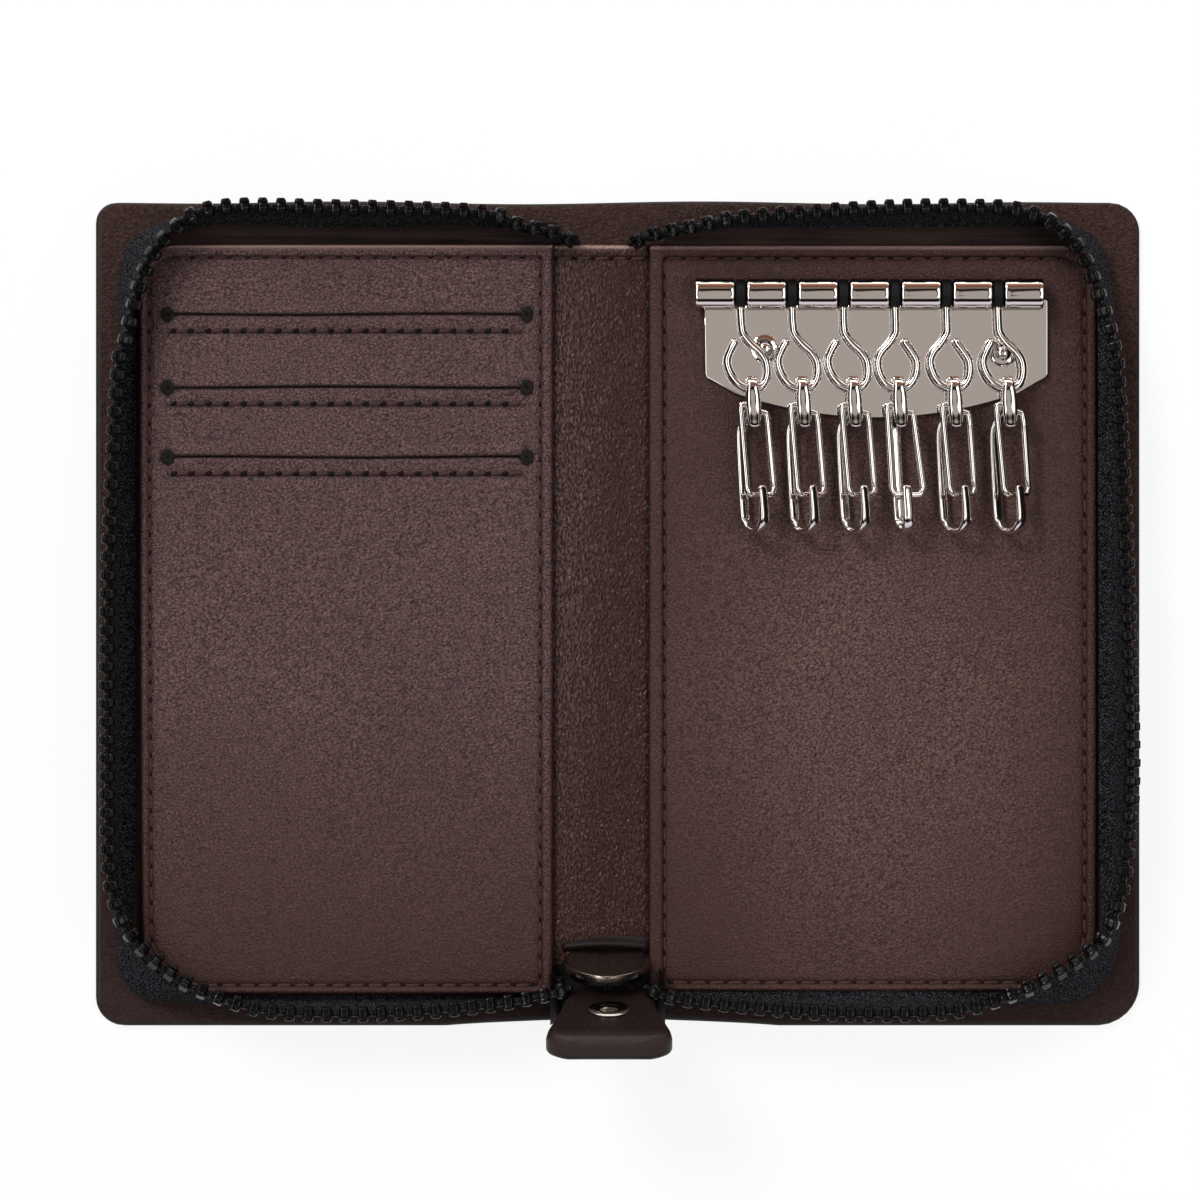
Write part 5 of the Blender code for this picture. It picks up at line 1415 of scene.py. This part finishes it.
def make_hooks():
    settings = zip(LOOP_SIDE_SHIFTS, LOOP_SHIFT_POWERS, LOOP_OPEN_SIDES, SNAP_TURNS)
    for number, (shift, power, open_side, degrees) in enumerate(settings, 1):
        x = ROW_LEFT_X + number * ROW_SEGMENT + (number - 0.5) * ROW_GAP
        turn = math.radians(degrees)
        make_bush(number, x)
        make_loop(number, x, shift, power, open_side)
        make_snap(number, x + shift, turn)
        make_gate(number, x + shift, turn)


# Studio

def make_floor():
    """Pale floor that keeps the shadow and shows white to the camera, in metal and through glass."""
    bm = bmesh.new()
    bmesh.ops.create_grid(bm, x_segments=1, y_segments=1, size=3.0)
    for v in bm.verts:
        v.co.z = FLOOR_Z
    s = Shader("pale_floor", 0.9, specular=0.1)
    s.bsdf.inputs["Base Color"].default_value = (0.82, 0.82, 0.82, 1.0)
    rays = s.tree.nodes.new("ShaderNodeLightPath")
    seen = s.math("MAXIMUM", rays.outputs["Is Camera Ray"], rays.outputs["Is Glossy Ray"])
    seen = s.math("MAXIMUM", seen, rays.outputs["Is Transmission Ray"])
    glow = s.node("Emission", {"Color": (1.0, 1.0, 1.0, 1.0), "Strength": 1.0})
    mix = s.node("MixShader", {0: s.math("MULTIPLY", seen, FLOOR_GLOW), 1: s.bsdf.outputs[0], 2: glow})
    s.put(s.tree.nodes["Material Output"].inputs["Surface"], mix)
    mesh_from_bmesh("floor", bm, s.material)


def make_light(name, place, size, power):
    """A soft panel that lights the leather. The world holds what shines in the metal."""
    lamp = bpy.data.lights.new(name, "AREA")
    lamp.shape = "RECTANGLE"
    lamp.size, lamp.size_y = size
    lamp.energy = power
    obj = link(name, lamp)
    obj.visible_glossy = False
    obj.location = place
    obj.rotation_euler = (-Vector(place)).to_track_quat("-Z", "Y").to_euler()


def make_surroundings():
    """Grey panel overhead with dark gaps round it, pale screens in front, white ones at the sides.

    Behind is a brown wall with a white band low down, and in the key lamp's place a small bright spot.
    """
    world = bpy.data.worlds.new("studio")
    world.use_nodes = True
    s = Nodes(world.node_tree)
    direction = s.node("TexCoord", out="Generated")
    level = s.vector("MULTIPLY", direction, (1.0, 1.0, 0.0))
    spread = s.vector("LENGTH", level, out=1)
    overhead, dark, white = (0.43, 0.385, 0.355), (0.012, 0.010, 0.009), (3.0, 2.92, 2.88)
    front = s.ramp(spread, (0.0, 0.42, overhead), (0.48, 0.76, dark), (0.83, 0.83, (0.80, 0.76, 0.82)),
                   (0.96, 0.96, (0.75, 0.70, 0.74)), (1.0, 1.0, (0.35, 0.32, 0.32)))
    back = s.ramp(spread, (0.0, 0.12, overhead), (0.18, 0.28, dark), (0.38, 0.38, (0.24, 0.18, 0.15)),
                  (0.60, 0.60, (0.17, 0.068, 0.038)), (0.72, 0.72, (0.36, 0.18, 0.11)),
                  (0.85, 0.85, (0.62, 0.35, 0.23)), (0.89, 1.0, (1.8, 1.8, 1.76)))
    left = s.ramp(spread, (0.0, 0.20, overhead), (0.27, 0.36, dark), (0.41, 0.60, white), (0.66, 1.0, dark))
    right = s.ramp(spread, (0.0, 0.15, overhead), (0.20, 0.27, dark), (0.31, 0.48, white),
                   (0.53, 0.53, (0.40, 0.36, 0.33)), (0.72, 0.72, (0.30, 0.27, 0.25)), (0.78, 1.0, dark))
    across, ahead = s.axis(level, 0), s.axis(level, 1)
    slope = s.math("DIVIDE", s.math("ABSOLUTE", across), spread)
    facing = s.tint(s.span(ahead, -0.02, 0.02), front, back)
    beside = s.tint(s.span(across, -0.02, 0.02), left, right)
    around = s.tint(s.span(slope, 0.62, 0.78), facing, beside)
    near = s.vector("DOT_PRODUCT", direction, tuple(Vector(KEY_PLACE).normalized()), out=1)
    around = s.tint(s.span(near, 0.990, 0.993), around, (20.0, 20.0, 20.0))
    s.put(s.tree.nodes["Background"].inputs[0], around)
    bpy.context.scene.world = world


def make_studio():
    make_floor()
    make_surroundings()
    make_light("key_light", KEY_PLACE, KEY_SIZE, KEY_POWER)
    make_light("fill_light", FILL_PLACE, FILL_SIZE, FILL_POWER)
    camera = bpy.data.cameras.new("camera")
    camera.lens = CAMERA_LENS
    camera.sensor_width = CAMERA_SENSOR
    obj = link("camera", camera)
    obj.location = CAMERA_PLACE
    bpy.context.scene.camera = obj
    bpy.context.scene.view_settings.view_transform = "Standard"


for half in SIDES:
    make_cover(half)
    make_lining(half)
    make_panel(half)
    make_stitches(half)
    make_tape(half)
    make_teeth(half)
make_spine()
make_spine_stitches()
make_eyelets()
make_slider_face()
make_slider_back()
make_slider_lip()
make_gusset()
make_pull()
make_row()
make_hooks()
make_studio()
